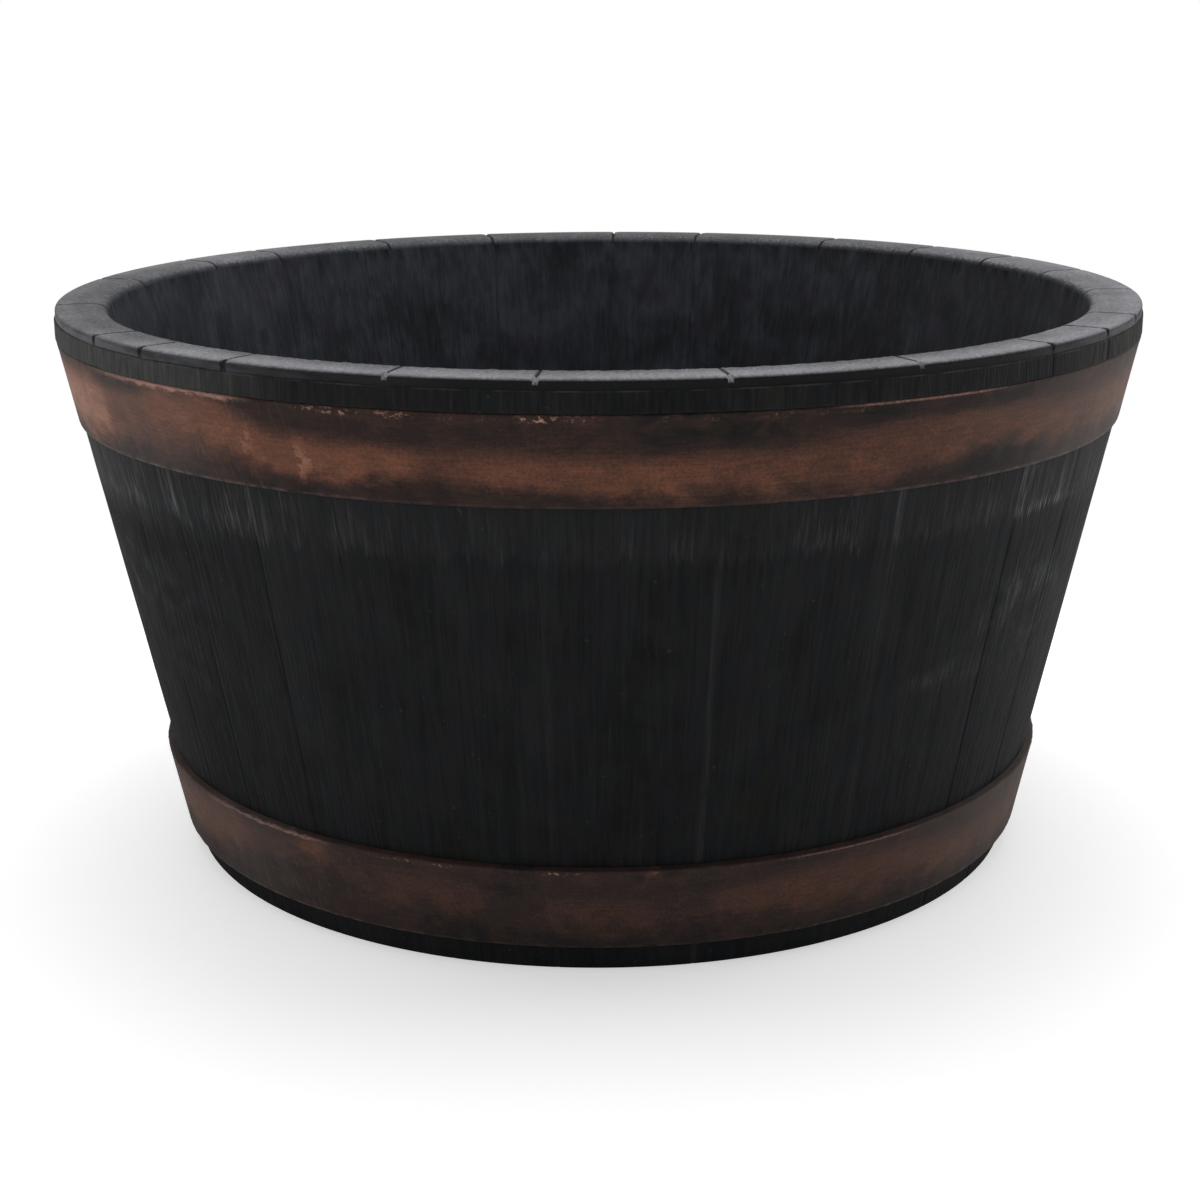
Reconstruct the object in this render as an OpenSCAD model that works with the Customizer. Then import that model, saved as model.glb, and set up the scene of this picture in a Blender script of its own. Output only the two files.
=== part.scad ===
// Half-barrel planter: a staved outer shell, a liner that carries the flat rim, two strap hoops and
// four push-in drain plugs. Origin at the middle of the base, +Z up, the photographed side towards -Y.

/* [Tub] */
// Diameter over the rim
rim_d = 490; // [440:1:600]
// Height from the ground to the top of the rim
tub_h = 251.5; // [220:0.5:300]
// Lean of the walls away from upright, in degrees
wall_taper = 11.7; // [8:0.1:14]
// Wall thickness of the outer shell
shell_t = 3.5; // [3:0.5:6]
// Wall thickness of the liner
liner_t = 3.5; // [3:0.5:6]

/* [Rim] */
// Width of the flat rim
rim_w = 23.3; // [20:0.1:32]
// Thickness of the rim, which is also the smooth band round its edge
rim_t = 4.3; // [3:0.1:8]
// Height of the grained shoulder under the rim
shoulder_h = 8.5; // [6:0.5:14]
// How far the shoulder stands out from the staved wall
shoulder_proud = 1.7; // [1:0.1:2]
// Rounding of the rim's outer edge
rim_outer_r = 1.2; // [0.5:0.1:2]
// Rounding of the rim's inner edge
rim_inner_r = 2; // [0.5:0.1:3]
// How far the rim's edge sits inside the shoulder's
rim_inset = 0.4; // [0.1:0.1:0.8]
// Thickness of the lip that centres the rim in the shell
lip_t = 2.5; // [1.5:0.5:4]
// Gap between the lip and the shell
lip_gap = 0.3; // [0.2:0.05:0.6]

/* [Stave joints] */
// Width of a joint's groove on the outer wall
groove_w = 1.8; // [1:0.1:3]
// Depth of a joint's groove on the outer wall
groove_depth = 1.1; // [0.5:0.1:1.6]
// Width of a joint's groove on the inner wall
inner_groove_w = 1.4; // [0.8:0.1:3]
// Depth of a joint's groove on the inner wall
inner_groove_depth = 0.7; // [0.3:0.1:1.6]
// Width of a joint's groove across the rim
rim_groove_w = 1.3; // [0.8:0.1:3]
// Depth of a joint's groove across the rim
rim_groove_depth = 0.8; // [0.4:0.1:1.5]
// Width of the notch where a joint meets the edge of the rim
notch_w = 3.4; // [2:0.1:5]
// How far in from the edge of the rim a notch starts
notch_run = 4.5; // [3:0.5:8]
// How far down the edge of the rim a notch reaches
notch_drop = 3.8; // [2:0.1:4]
// Width of a joint's groove down the shoulder
shoulder_groove_w = 1.4; // [0.8:0.1:3]
// Depth of a joint's groove down the shoulder
shoulder_groove_depth = 0.9; // [0.4:0.1:1.2]

/* [Hoops] */
// Width of each strap, measured along the wall
hoop_w = 37; // [30:1:42]
// Thickness of the upper strap
upper_hoop_t = 1.4; // [1:0.1:3]
// Thickness of the lower strap
lower_hoop_t = 3.4; // [1:0.1:5]
// Height of dark foot left bare below the lower strap
foot_h = 11.8; // [8:0.1:20]
// Rounding of the straps' outer edges
hoop_edge_r = 0.6; // [0.2:0.1:0.9]
// Gap between a strap and the wall behind it
hoop_gap = 0.25; // [0.1:0.05:0.5]

/* [Floor and drains] */
// Height of the shell's floor above the ground
floor_lift = 6; // [4:0.5:10]
// Thickness of each floor
floor_t = 3.5; // [3:0.5:6]
// Width of the ring that the tub stands on
standing_ring_w = 9; // [6:0.5:15]
// Space between the two floors
floor_gap = 10; // [6:0.5:20]
// Number of ribs between the two floors
ribs = 8; // [4:4:16]
// Thickness of each rib
rib_t = 3; // [2:0.5:5]
// Space between a rib and the wall, and between a rib and the middle
rib_margin = 20; // [10:1:30]
// Distance of the drain holes from the middle
drain_ring_r = 115; // [60:1:125]
// Radius of each drain hole
drain_r = 10; // [6:0.5:12]
// Wall thickness of the boss that joins the floors round a drain hole
boss_t = 5; // [3:0.5:8]

/* [Drain plugs] */
// Gap between a plug's shank and its hole
plug_clearance = 0.3; // [0.2:0.05:0.5]
// How far a plug's head reaches past its hole
plug_head_reach = 6; // [3:0.5:10]
// Thickness of a plug's head
plug_head_t = 3; // [2:0.5:5]
// Width of a plug's pull tab
tab_w = 18; // [14:1:20]
// Thickness of a plug's pull tab
tab_t = 4; // [3:0.5:6]
// Height of a plug's pull tab above its head
tab_h = 14; // [12:1:20]
// Radius of the finger hole in a plug's pull tab
tab_hole_r = 4; // [2.5:0.5:5]
// Chamfer at a plug's lower end
plug_chamfer = 2; // [1:0.5:3]

/* [Hidden] */
// The drain holes stand at the front, the right, the back and the left
drains = 4;

// Widths of the staves round the rim, going right from the joint at first_joint
stave_widths = [40, 50, 71, 56, 70, 77, 72, 48, 45, 82, 74, 62,
                58, 64, 81, 51, 75, 67, 78, 52, 79, 92, 97];
// Bearing of the first joint, right of the front
first_joint = -56;

rim_r = rim_d / 2;
rim_bottom = tub_h - rim_t;
shoulder_bottom = rim_bottom - shoulder_h;
lean = tan(wall_taper);
shell_floor_top = floor_lift + floor_t;
liner_floor_bottom = shell_floor_top + floor_gap;
liner_floor_top = liner_floor_bottom + floor_t;
// Overrun of the cutting shapes past the faces that they cut
over = 5;

// Radius of the staved wall's outer face at a height
function wall_r(z) = rim_r - shoulder_proud - (shoulder_bottom - z) * lean;
// Radius of the liner's inner face at a height
function liner_r(z) = rim_r - rim_w - (rim_bottom - z) * lean;
// Sum of the first n stave widths
function widths_before(n) = n <= 0 ? 0 : stave_widths[n - 1] + widths_before(n - 1);
// Turn about Z that takes -Y, the front, to the joint at one edge of stave n
function joint_turn(n) = first_joint + 360 * widths_before(n) / widths_before(len(stave_widths));

// Sets its children at each stave joint, with +X pointing outwards
module at_stave_joints() {
    for (n = [0 : len(stave_widths) - 1])
        rotate([0, 0, joint_turn(n) - 90])
            children();
}

// Sets its children at drain hole n, counted from the front
module at_drain(n) {
    rotate([0, 0, 360 * n / drains - 90])
        translate([drain_ring_r, 0, 0])
            children();
}

// Sets its children at each drain hole
module at_drains() {
    for (n = [0 : drains - 1])
        at_drain(n)
            children();
}

// Vertical V-shaped cutter whose edge points along +X, with its mouth at x = 0
module inward_v(w, depth, h) {
    slope = w / 2 / depth;
    linear_extrude(h)
        polygon([[depth, 0], [-over, (depth + over) * slope], [-over, -(depth + over) * slope]]);
}

// Grooves at the stave joints down the outer wall, ending behind the upper strap, and down the shoulder
module outer_joint_cuts() {
    wall_run = (shoulder_bottom - hoop_w / 2) / cos(wall_taper);
    at_stave_joints() {
        translate([wall_r(0), 0, 0])
            rotate([0, wall_taper, 0])
                translate([0, 0, -over])
                    mirror([1, 0, 0])
                        inward_v(groove_w, groove_depth, wall_run + over);
        translate([rim_r, 0, shoulder_bottom - over])
            mirror([1, 0, 0])
                inward_v(shoulder_groove_w, shoulder_groove_depth, shoulder_h + 2 * over);
    }
}

// Grooves across the rim, each falling into a notch in its outer edge
module rim_joint_cuts() {
    rim_edge_r = rim_r - rim_inset;
    fall = atan((notch_drop - rim_groove_depth) / notch_run);
    notch_depth = notch_drop * cos(fall);
    at_stave_joints() {
        translate([rim_r - rim_w - over, 0, tub_h])
            rotate([0, 90, 0])
                inward_v(rim_groove_w, rim_groove_depth, rim_w + 2 * over);
        translate([rim_edge_r, 0, tub_h - notch_drop])
            rotate([0, 90 + fall, 0])
                translate([-notch_depth, 0, -notch_run - over])
                    inward_v(notch_w, notch_depth, notch_run + 2 * over);
    }
}

// Grooves down the inner wall at the stave joints, fading out in the rim's inner edge
module inner_joint_cuts() {
    wall_run = (rim_bottom - liner_floor_top + rim_t / 4) / cos(wall_taper);
    at_stave_joints()
        translate([liner_r(liner_floor_top), 0, liner_floor_top])
            rotate([0, wall_taper, 0])
                inward_v(inner_groove_w, inner_groove_depth, wall_run);
}

// Outline of a strap, standing on z = 0 with its back at x = 0 and its outer edges rounded
module strap_outline(t) {
    square([t - hoop_edge_r, hoop_w]);
    translate([0, hoop_edge_r])
        square([t, hoop_w - 2 * hoop_edge_r]);
    for (z = [hoop_edge_r, hoop_w - hoop_edge_r])
        translate([t - hoop_edge_r, z])
            circle(hoop_edge_r, $fn = 32);
}

// Strap bent round the wall, with the top of its back at a height
module hoop(top, t) {
    rotate_extrude($fn = 180)
        translate([wall_r(top) + hoop_gap, top])
            rotate(-wall_taper)
                translate([0, -hoop_w])
                    strap_outline(t);
}

module outer_shell() {
    color([0.12, 0.12, 0.12])
        difference() {
            union() {
                rotate_extrude($fn = 180)
                    polygon([
                        [0, floor_lift],
                        [wall_r(0) - standing_ring_w, floor_lift],
                        [wall_r(0) - standing_ring_w, 0],
                        [wall_r(0), 0],
                        [wall_r(shoulder_bottom), shoulder_bottom],
                        [rim_r, shoulder_bottom],
                        [rim_r, rim_bottom],
                        [rim_r - shell_t, rim_bottom],
                        [rim_r - shell_t, shoulder_bottom],
                        [wall_r(shoulder_bottom) - shell_t, shoulder_bottom],
                        [wall_r(shell_floor_top) - shell_t, shell_floor_top],
                        [0, shell_floor_top]
                    ]);
                at_drains()
                    translate([0, 0, floor_lift])
                        cylinder(h = floor_t + floor_gap, r = drain_r + boss_t, $fn = 64);
                floor_ribs();
            }
            at_drains()
                cylinder(h = liner_floor_top, r = drain_r, $fn = 64);
            outer_joint_cuts();
        }
}

// Ribs on the shell's floor that carry the liner's, set midway between the drain holes
module floor_ribs() {
    run = wall_r(shell_floor_top) - shell_t - 2 * rib_margin;
    for (n = [0 : ribs - 1])
        rotate([0, 0, 360 * (n + 0.5) / ribs])
            translate([rib_margin, -rib_t / 2, floor_lift + floor_t / 2])
                cube([run, rib_t, floor_t / 2 + floor_gap]);
}

module inner_liner() {
    lip_r = rim_r - shell_t - lip_gap;
    color([0.35, 0.35, 0.36])
        difference() {
            rotate_extrude($fn = 180) {
                polygon([
                    [0, liner_floor_bottom],
                    [liner_r(liner_floor_bottom) + liner_t, liner_floor_bottom],
                    [liner_r(rim_bottom) + liner_t, rim_bottom],
                    [liner_r(rim_bottom), rim_bottom],
                    [liner_r(liner_floor_top), liner_floor_top],
                    [0, liner_floor_top]
                ]);
                translate([rim_r - rim_w, rim_bottom])
                    rim_outline(rim_w - rim_inset);
                translate([lip_r - lip_t, shoulder_bottom + lip_gap])
                    square([lip_t, shoulder_h - lip_gap + rim_t / 2]);
            }
            at_drains()
                translate([0, 0, liner_floor_bottom - over])
                    cylinder(h = floor_t + 2 * over, r = drain_r, $fn = 64);
            rim_joint_cuts();
            inner_joint_cuts();
        }
}

// Outline of the rim, with both top edges rounded
module rim_outline(w) {
    square([w, rim_t - rim_inner_r]);
    translate([rim_inner_r, 0])
        square([w - rim_inner_r - rim_outer_r, rim_t]);
    translate([rim_inner_r, 0])
        square([w - rim_inner_r, rim_t - rim_outer_r]);
    translate([rim_inner_r, rim_t - rim_inner_r])
        circle(rim_inner_r, $fn = 32);
    translate([w - rim_outer_r, rim_t - rim_outer_r])
        circle(rim_outer_r, $fn = 32);
}

module upper_hoop() {
    color([0.50, 0.30, 0.22])
        hoop(shoulder_bottom, upper_hoop_t);
}

module lower_hoop() {
    color([0.36, 0.24, 0.19])
        hoop(foot_h + lower_hoop_t * sin(wall_taper) + hoop_w * cos(wall_taper), lower_hoop_t);
}

// Push-in plug seated on the liner's floor, with a tab to pull it by
module drain_plug(n) {
    shank_r = drain_r - plug_clearance;
    shank_h = liner_floor_top - floor_lift;
    color([0.10, 0.10, 0.10])
        at_drain(n)
            translate([0, 0, liner_floor_top]) {
                cylinder(h = plug_head_t, r = drain_r + plug_head_reach, $fn = 64);
                translate([0, 0, plug_chamfer - shank_h])
                    cylinder(h = shank_h - plug_chamfer + plug_head_t / 2, r = shank_r, $fn = 64);
                translate([0, 0, -shank_h])
                    cylinder(h = plug_chamfer, r1 = shank_r - plug_chamfer, r2 = shank_r, $fn = 64);
                translate([tab_t / 2, 0, plug_head_t / 2])
                    rotate([90, 0, -90])
                        pull_tab();
            }
}

// Upright tab with a round top and a finger hole
module pull_tab() {
    top_middle = plug_head_t / 2 + tab_h - tab_w / 2;
    linear_extrude(tab_t)
        difference() {
            union() {
                translate([-tab_w / 2, 0])
                    square([tab_w, top_middle]);
                translate([0, top_middle])
                    circle(tab_w / 2, $fn = 64);
            }
            translate([0, top_middle])
                circle(tab_hole_r, $fn = 48);
        }
}

module drain_plug_front() { drain_plug(0); }
module drain_plug_right() { drain_plug(1); }
module drain_plug_back() { drain_plug(2); }
module drain_plug_left() { drain_plug(3); }

outer_shell();
inner_liner();
upper_hoop();
lower_hoop();
drain_plug_front();
drain_plug_right();
drain_plug_back();
drain_plug_left();
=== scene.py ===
"""Half-barrel planter: staves, flat rim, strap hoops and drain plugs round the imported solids."""

import logging
import math
from collections.abc import Iterator, Sequence
from contextlib import contextmanager
from dataclasses import dataclass, field
from enum import Enum

import bpy
import numpy as np
from mathutils import Matrix, Vector


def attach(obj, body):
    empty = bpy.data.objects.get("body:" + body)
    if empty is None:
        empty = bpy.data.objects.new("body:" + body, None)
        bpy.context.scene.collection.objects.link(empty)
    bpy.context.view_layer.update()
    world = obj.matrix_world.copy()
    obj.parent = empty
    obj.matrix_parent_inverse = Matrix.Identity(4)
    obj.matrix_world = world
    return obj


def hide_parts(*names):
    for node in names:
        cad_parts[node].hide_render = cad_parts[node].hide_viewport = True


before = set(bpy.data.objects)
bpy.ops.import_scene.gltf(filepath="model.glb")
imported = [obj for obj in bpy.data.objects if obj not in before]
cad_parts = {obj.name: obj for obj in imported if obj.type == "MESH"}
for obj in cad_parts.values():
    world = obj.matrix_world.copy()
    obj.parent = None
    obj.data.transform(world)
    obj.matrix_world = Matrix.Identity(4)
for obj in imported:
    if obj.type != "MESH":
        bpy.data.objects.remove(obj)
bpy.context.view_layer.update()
MM = 0.001
TURN = 2 * math.pi
# Bearings are raised by this before they are sorted, so that one on a joint falls right of it
NUDGE = 1e-7
# Points of an outline that lie closer than this are one point
SAME_POINT = 0.02 * MM
# A turned face with more corners than this is a flat cap
CAP_CORNERS = 8
# Edges sharper than this are bevelled
SHARP = math.radians(50)
# A face whose normal points up less than this looks down
DOWN = -0.9
SIDES = ("front", "right", "back", "left")
log = logging.getLogger("planter")

Colour = tuple[float, float, float, float]
Curve = tuple[tuple[float, float], ...]
Patch = tuple[float, float, float, float, float]
WHITE: Colour = (1, 1, 1, 1)


class Zone(Enum):
    """The stretches of an outline that are carved and dressed alike."""

    WALL = "wall"
    SHOULDER = "shoulder"
    RIM_TOP = "rim top"
    RIM_EDGE = "rim edge"
    INNER_WALL = "inner wall"
    STRAP = "strap"
    HIDDEN = "hidden"


@dataclass(frozen=True)
class StaveLayout:
    """Where the staves meet, as bearings right of the front, and the mesh columns that follow them.

    Attributes:
        widths: Widths of the staves round the rim, going right from the first joint.
        first_joint: Bearing of the first joint, in degrees.
        rim_r: Radius that distances round the tub are measured at.
        beside: Distances from a joint of the columns that carve it.
        pitch: Rough distance between the columns elsewhere.
        open_by: How far each joint stands open, from the first one round.
    """

    widths: tuple[int, ...] = (40, 50, 71, 56, 70, 77, 72, 48, 45, 82, 74, 62,
                               58, 64, 81, 51, 75, 67, 78, 52, 79, 92, 97)
    first_joint: float = -56.0
    rim_r: float = 245 * MM
    beside: tuple[float, ...] = (0.7 * MM, 1.2 * MM, 1.8 * MM, 2.7 * MM)
    pitch: float = 1.95 * MM
    open_by: tuple[float, ...] = (0.3, 0.4, 0.5, 0.1, 0.25, 0.3, 0.45, 0.8, 0.8, 0.4, 0.7, 0.3,
                                  0.6, 0.8, 0.3, 0.7, 0.5, 0.8, 0.35, 0.7, 0.5, 0.8, 0.6)

    def joints(self) -> np.ndarray:
        """Gives the joints' bearings in radians, rising, with the first repeated a turn later."""
        turns = np.concatenate(([0], np.cumsum(self.widths))) / sum(self.widths)
        return math.radians(self.first_joint) + turns * TURN

    def wrapped(self, bearing: np.ndarray) -> np.ndarray:
        """Brings bearings in radians into the turn that starts at the first joint."""
        first = self.joints()[0]
        return first + np.mod(bearing - first + NUDGE, TURN)

    def columns(self) -> np.ndarray:
        """Places the mesh columns, close together beside each joint and even between.

        Returns:
            The bearing of every column, in radians, from the first joint round.
        """
        joints = self.joints()
        near = np.array(self.beside) / self.rim_r
        made: list[np.ndarray] = []
        for start, end in zip(joints[:-1], joints[1:]):
            low, high = start + near[-1], end - near[-1]
            count = max(4, round((high - low) * self.rim_r / self.pitch))
            even = np.linspace(low, high, count + 1)
            made.append(np.concatenate(([start], start + near[:-1], even, end - near[-2::-1])))
        return np.concatenate(made)

    def nearest(self, bearing: np.ndarray) -> tuple[np.ndarray, np.ndarray, np.ndarray]:
        """Finds the stave under each bearing and the distance to its nearer joint.

        Args:
            bearing: Bearings in radians.

        Returns:
            The stave's number, the distance to the nearer joint at the rim's radius, and the
            stave's width there.
        """
        joints, turned = self.joints(), self.wrapped(bearing)
        stave = np.searchsorted(joints, turned, side="right") - 1
        stave = np.clip(stave, 0, len(self.widths) - 1)
        gap = np.minimum(turned - joints[stave], joints[stave + 1] - turned)
        width = joints[stave + 1] - joints[stave]
        return stave, np.abs(gap) * self.rim_r, width * self.rim_r

    def openness(self, bearing: np.ndarray) -> np.ndarray:
        """Gives how far the joint nearest to each bearing in radians stands open, from 0 to 1."""
        off = np.abs(self.wrapped(bearing)[:, None] - self.joints())
        return np.array(self.open_by)[off.argmin(axis=1) % len(self.widths)]


@dataclass
class Outline:
    """A cut through a turned piece, drawn point by point as radius and height in metres.

    Attributes:
        closed: Whether the last point joins the first.
        points: The points so far.
        zones: The zone of the stretch that leaves each point.
    """

    closed: bool = False
    points: list[tuple[float, float]] = field(default_factory=list)
    zones: list[Zone] = field(default_factory=list)

    def start(self, r: float, z: float) -> "Outline":
        """Puts the first point.

        Args:
            r: Radius.
            z: Height.

        Returns:
            The outline, to go on with.
        """
        self.points.append((r, z))
        return self

    def line(self, r: float, z: float, zone: Zone, step: float = 1.0) -> "Outline":
        """Goes straight to a point.

        Args:
            r: Radius to reach.
            z: Height to reach.
            zone: The zone of the stretch.
            step: Longest distance between points.

        Returns:
            The outline, to go on with.
        """
        r0, z0 = self.points[-1]
        count = max(1, math.ceil(math.dist((r0, z0), (r, z)) / step))
        for n in range(1, count + 1):
            self.zones.append(zone)
            self.points.append((r0 + (r - r0) * n / count, z0 + (z - z0) * n / count))
        return self

    def arc(self, r: float, z: float, radius: float, start: float, end: float, zone: Zone,
            steps: int = 4, tall: float | None = None) -> "Outline":
        """Goes round an arc, first joining its start.

        Args:
            r: Radius of the arc's centre.
            z: Height of the arc's centre.
            radius: The arc's own radius.
            start: Angle of its start from outwards, in degrees, rising towards up.
            end: Angle of its end.
            zone: The zone of the stretch.
            steps: Number of its chords.
            tall: Its radius upwards, where it differs.

        Returns:
            The outline, to go on with.
        """
        for n in range(steps + 1):
            a = math.radians(start + (end - start) * n / steps)
            self.zones.append(zone)
            self.points.append((r + radius * math.cos(a), z + (tall or radius) * math.sin(a)))
        return self

    def finish(self) -> "Outline":
        """Drops points that fall on their neighbour, and closes the count of stretches.

        Returns:
            The outline.
        """
        points, zones = [self.points[0]], []
        for point, zone in zip(self.points[1:], self.zones):
            if math.dist(point, points[-1]) > SAME_POINT:
                points.append(point)
                zones.append(zone)
        if self.closed and math.dist(points[0], points[-1]) <= SAME_POINT:
            points.pop()
        else:
            zones.append(zones[-1])
        self.points, self.zones = points, zones
        return self

    def lengths(self) -> np.ndarray:
        """Gives each point's distance along the outline."""
        steps = np.diff(np.array(self.points), axis=0)
        return np.concatenate(([0.0], np.cumsum(np.hypot(*steps.T))))


def deselect() -> None:
    """Leaves edit mode and deselects every object."""
    if bpy.context.object and bpy.context.object.mode != "OBJECT":
        bpy.ops.object.mode_set(mode="OBJECT")
    bpy.ops.object.select_all(action="DESELECT")


def activate(obj: bpy.types.Object) -> None:
    """Selects one object alone, for the operators that follow.

    Args:
        obj: The object.
    """
    deselect()
    obj.select_set(True)
    bpy.context.view_layer.objects.active = obj


@contextmanager
def edit_mode() -> Iterator[None]:
    """Holds the active object in edit mode.

    Yields:
        Nothing, while edit mode lasts.
    """
    bpy.ops.object.mode_set(mode="EDIT")
    yield
    bpy.ops.object.mode_set(mode="OBJECT")


def pick_underside(obj: bpy.types.Object) -> None:
    """Selects the downward faces of the active object, and nothing else on it.

    Args:
        obj: The object.
    """
    with edit_mode():
        bpy.ops.mesh.select_all(action="DESELECT")
    for face in obj.data.polygons:
        face.select = face.normal.z < DOWN


def apply_modifier(obj: bpy.types.Object, kind: str, **settings: object) -> None:
    """Adds a modifier, sets it and applies it.

    Args:
        obj: The object to shape.
        kind: The modifier's type.
        settings: Its settings by name.
    """
    activate(obj)
    modifier = obj.modifiers.new(kind.lower(), kind)
    for name, value in settings.items():
        setattr(modifier, name, value)
    bpy.ops.object.modifier_apply(modifier=modifier.name)


def soften(obj: bpy.types.Object, width: float) -> None:
    """Rounds an object's sharp edges.

    Args:
        obj: The object.
        width: Width of the rounding.
    """
    apply_modifier(obj, "BEVEL", width=width, segments=3, limit_method="ANGLE", angle_limit=SHARP)


def clouds(name: str, scale: float) -> bpy.types.Texture:
    """Makes a cloudy texture for the Displace modifiers.

    Args:
        name: Its name.
        scale: Size of its clouds on the relief map.

    Returns:
        The texture.
    """
    texture = bpy.data.textures.new(name, "CLOUDS")
    texture.noise_scale = scale
    return texture


def dress(obj: bpy.types.Object, finish: bpy.types.Material) -> None:
    """Gives an object its finish."""
    obj.data.materials.clear()
    obj.data.materials.append(finish)


def settle(obj: bpy.types.Object, body: str, angle: float = 40.0) -> None:
    """Puts an object's place into its mesh, smooths it and lets it ride on a body.

    Args:
        obj: The finished object.
        body: The body that it rides on.
        angle: Edges sharper than this stay sharp, in degrees.
    """
    activate(obj)
    bpy.ops.object.transform_apply(location=True, rotation=True, scale=True)
    bpy.ops.object.shade_smooth_by_angle(angle=math.radians(angle))
    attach(obj, body)


def cylinder(radius: float, depth: float, place: Sequence[float], vertices: int = 64,
             lying: bool = False) -> bpy.types.Object:
    """Adds a cylinder, upright or lying from front to back.

    Args:
        radius: Its radius.
        depth: Its length.
        place: Its middle.
        vertices: Number of its sides.
        lying: Whether it lies.

    Returns:
        The cylinder.
    """
    deselect()
    turn = (math.pi / 2 if lying else 0, 0, 0)
    bpy.ops.mesh.primitive_cylinder_add(vertices=vertices, radius=radius, depth=depth,
                                        location=place, rotation=turn)
    return bpy.context.object


def join(pieces: Sequence[bpy.types.Object], name: str) -> bpy.types.Object:
    """Joins objects into one.

    Args:
        pieces: The objects.
        name: The joined object's name.

    Returns:
        The joined object.
    """
    deselect()
    for piece in pieces:
        piece.select_set(True)
    bpy.context.view_layer.objects.active = pieces[0]
    bpy.ops.object.join()
    pieces[0].name = pieces[0].data.name = name
    return pieces[0]


def cut_away(obj: bpy.types.Object, cutter: bpy.types.Object) -> None:
    """Cuts one object out of another and removes the cutter."""
    apply_modifier(obj, "BOOLEAN", operation="DIFFERENCE", solver="EXACT", object=cutter)
    bpy.data.objects.remove(cutter, do_unlink=True)


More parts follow.
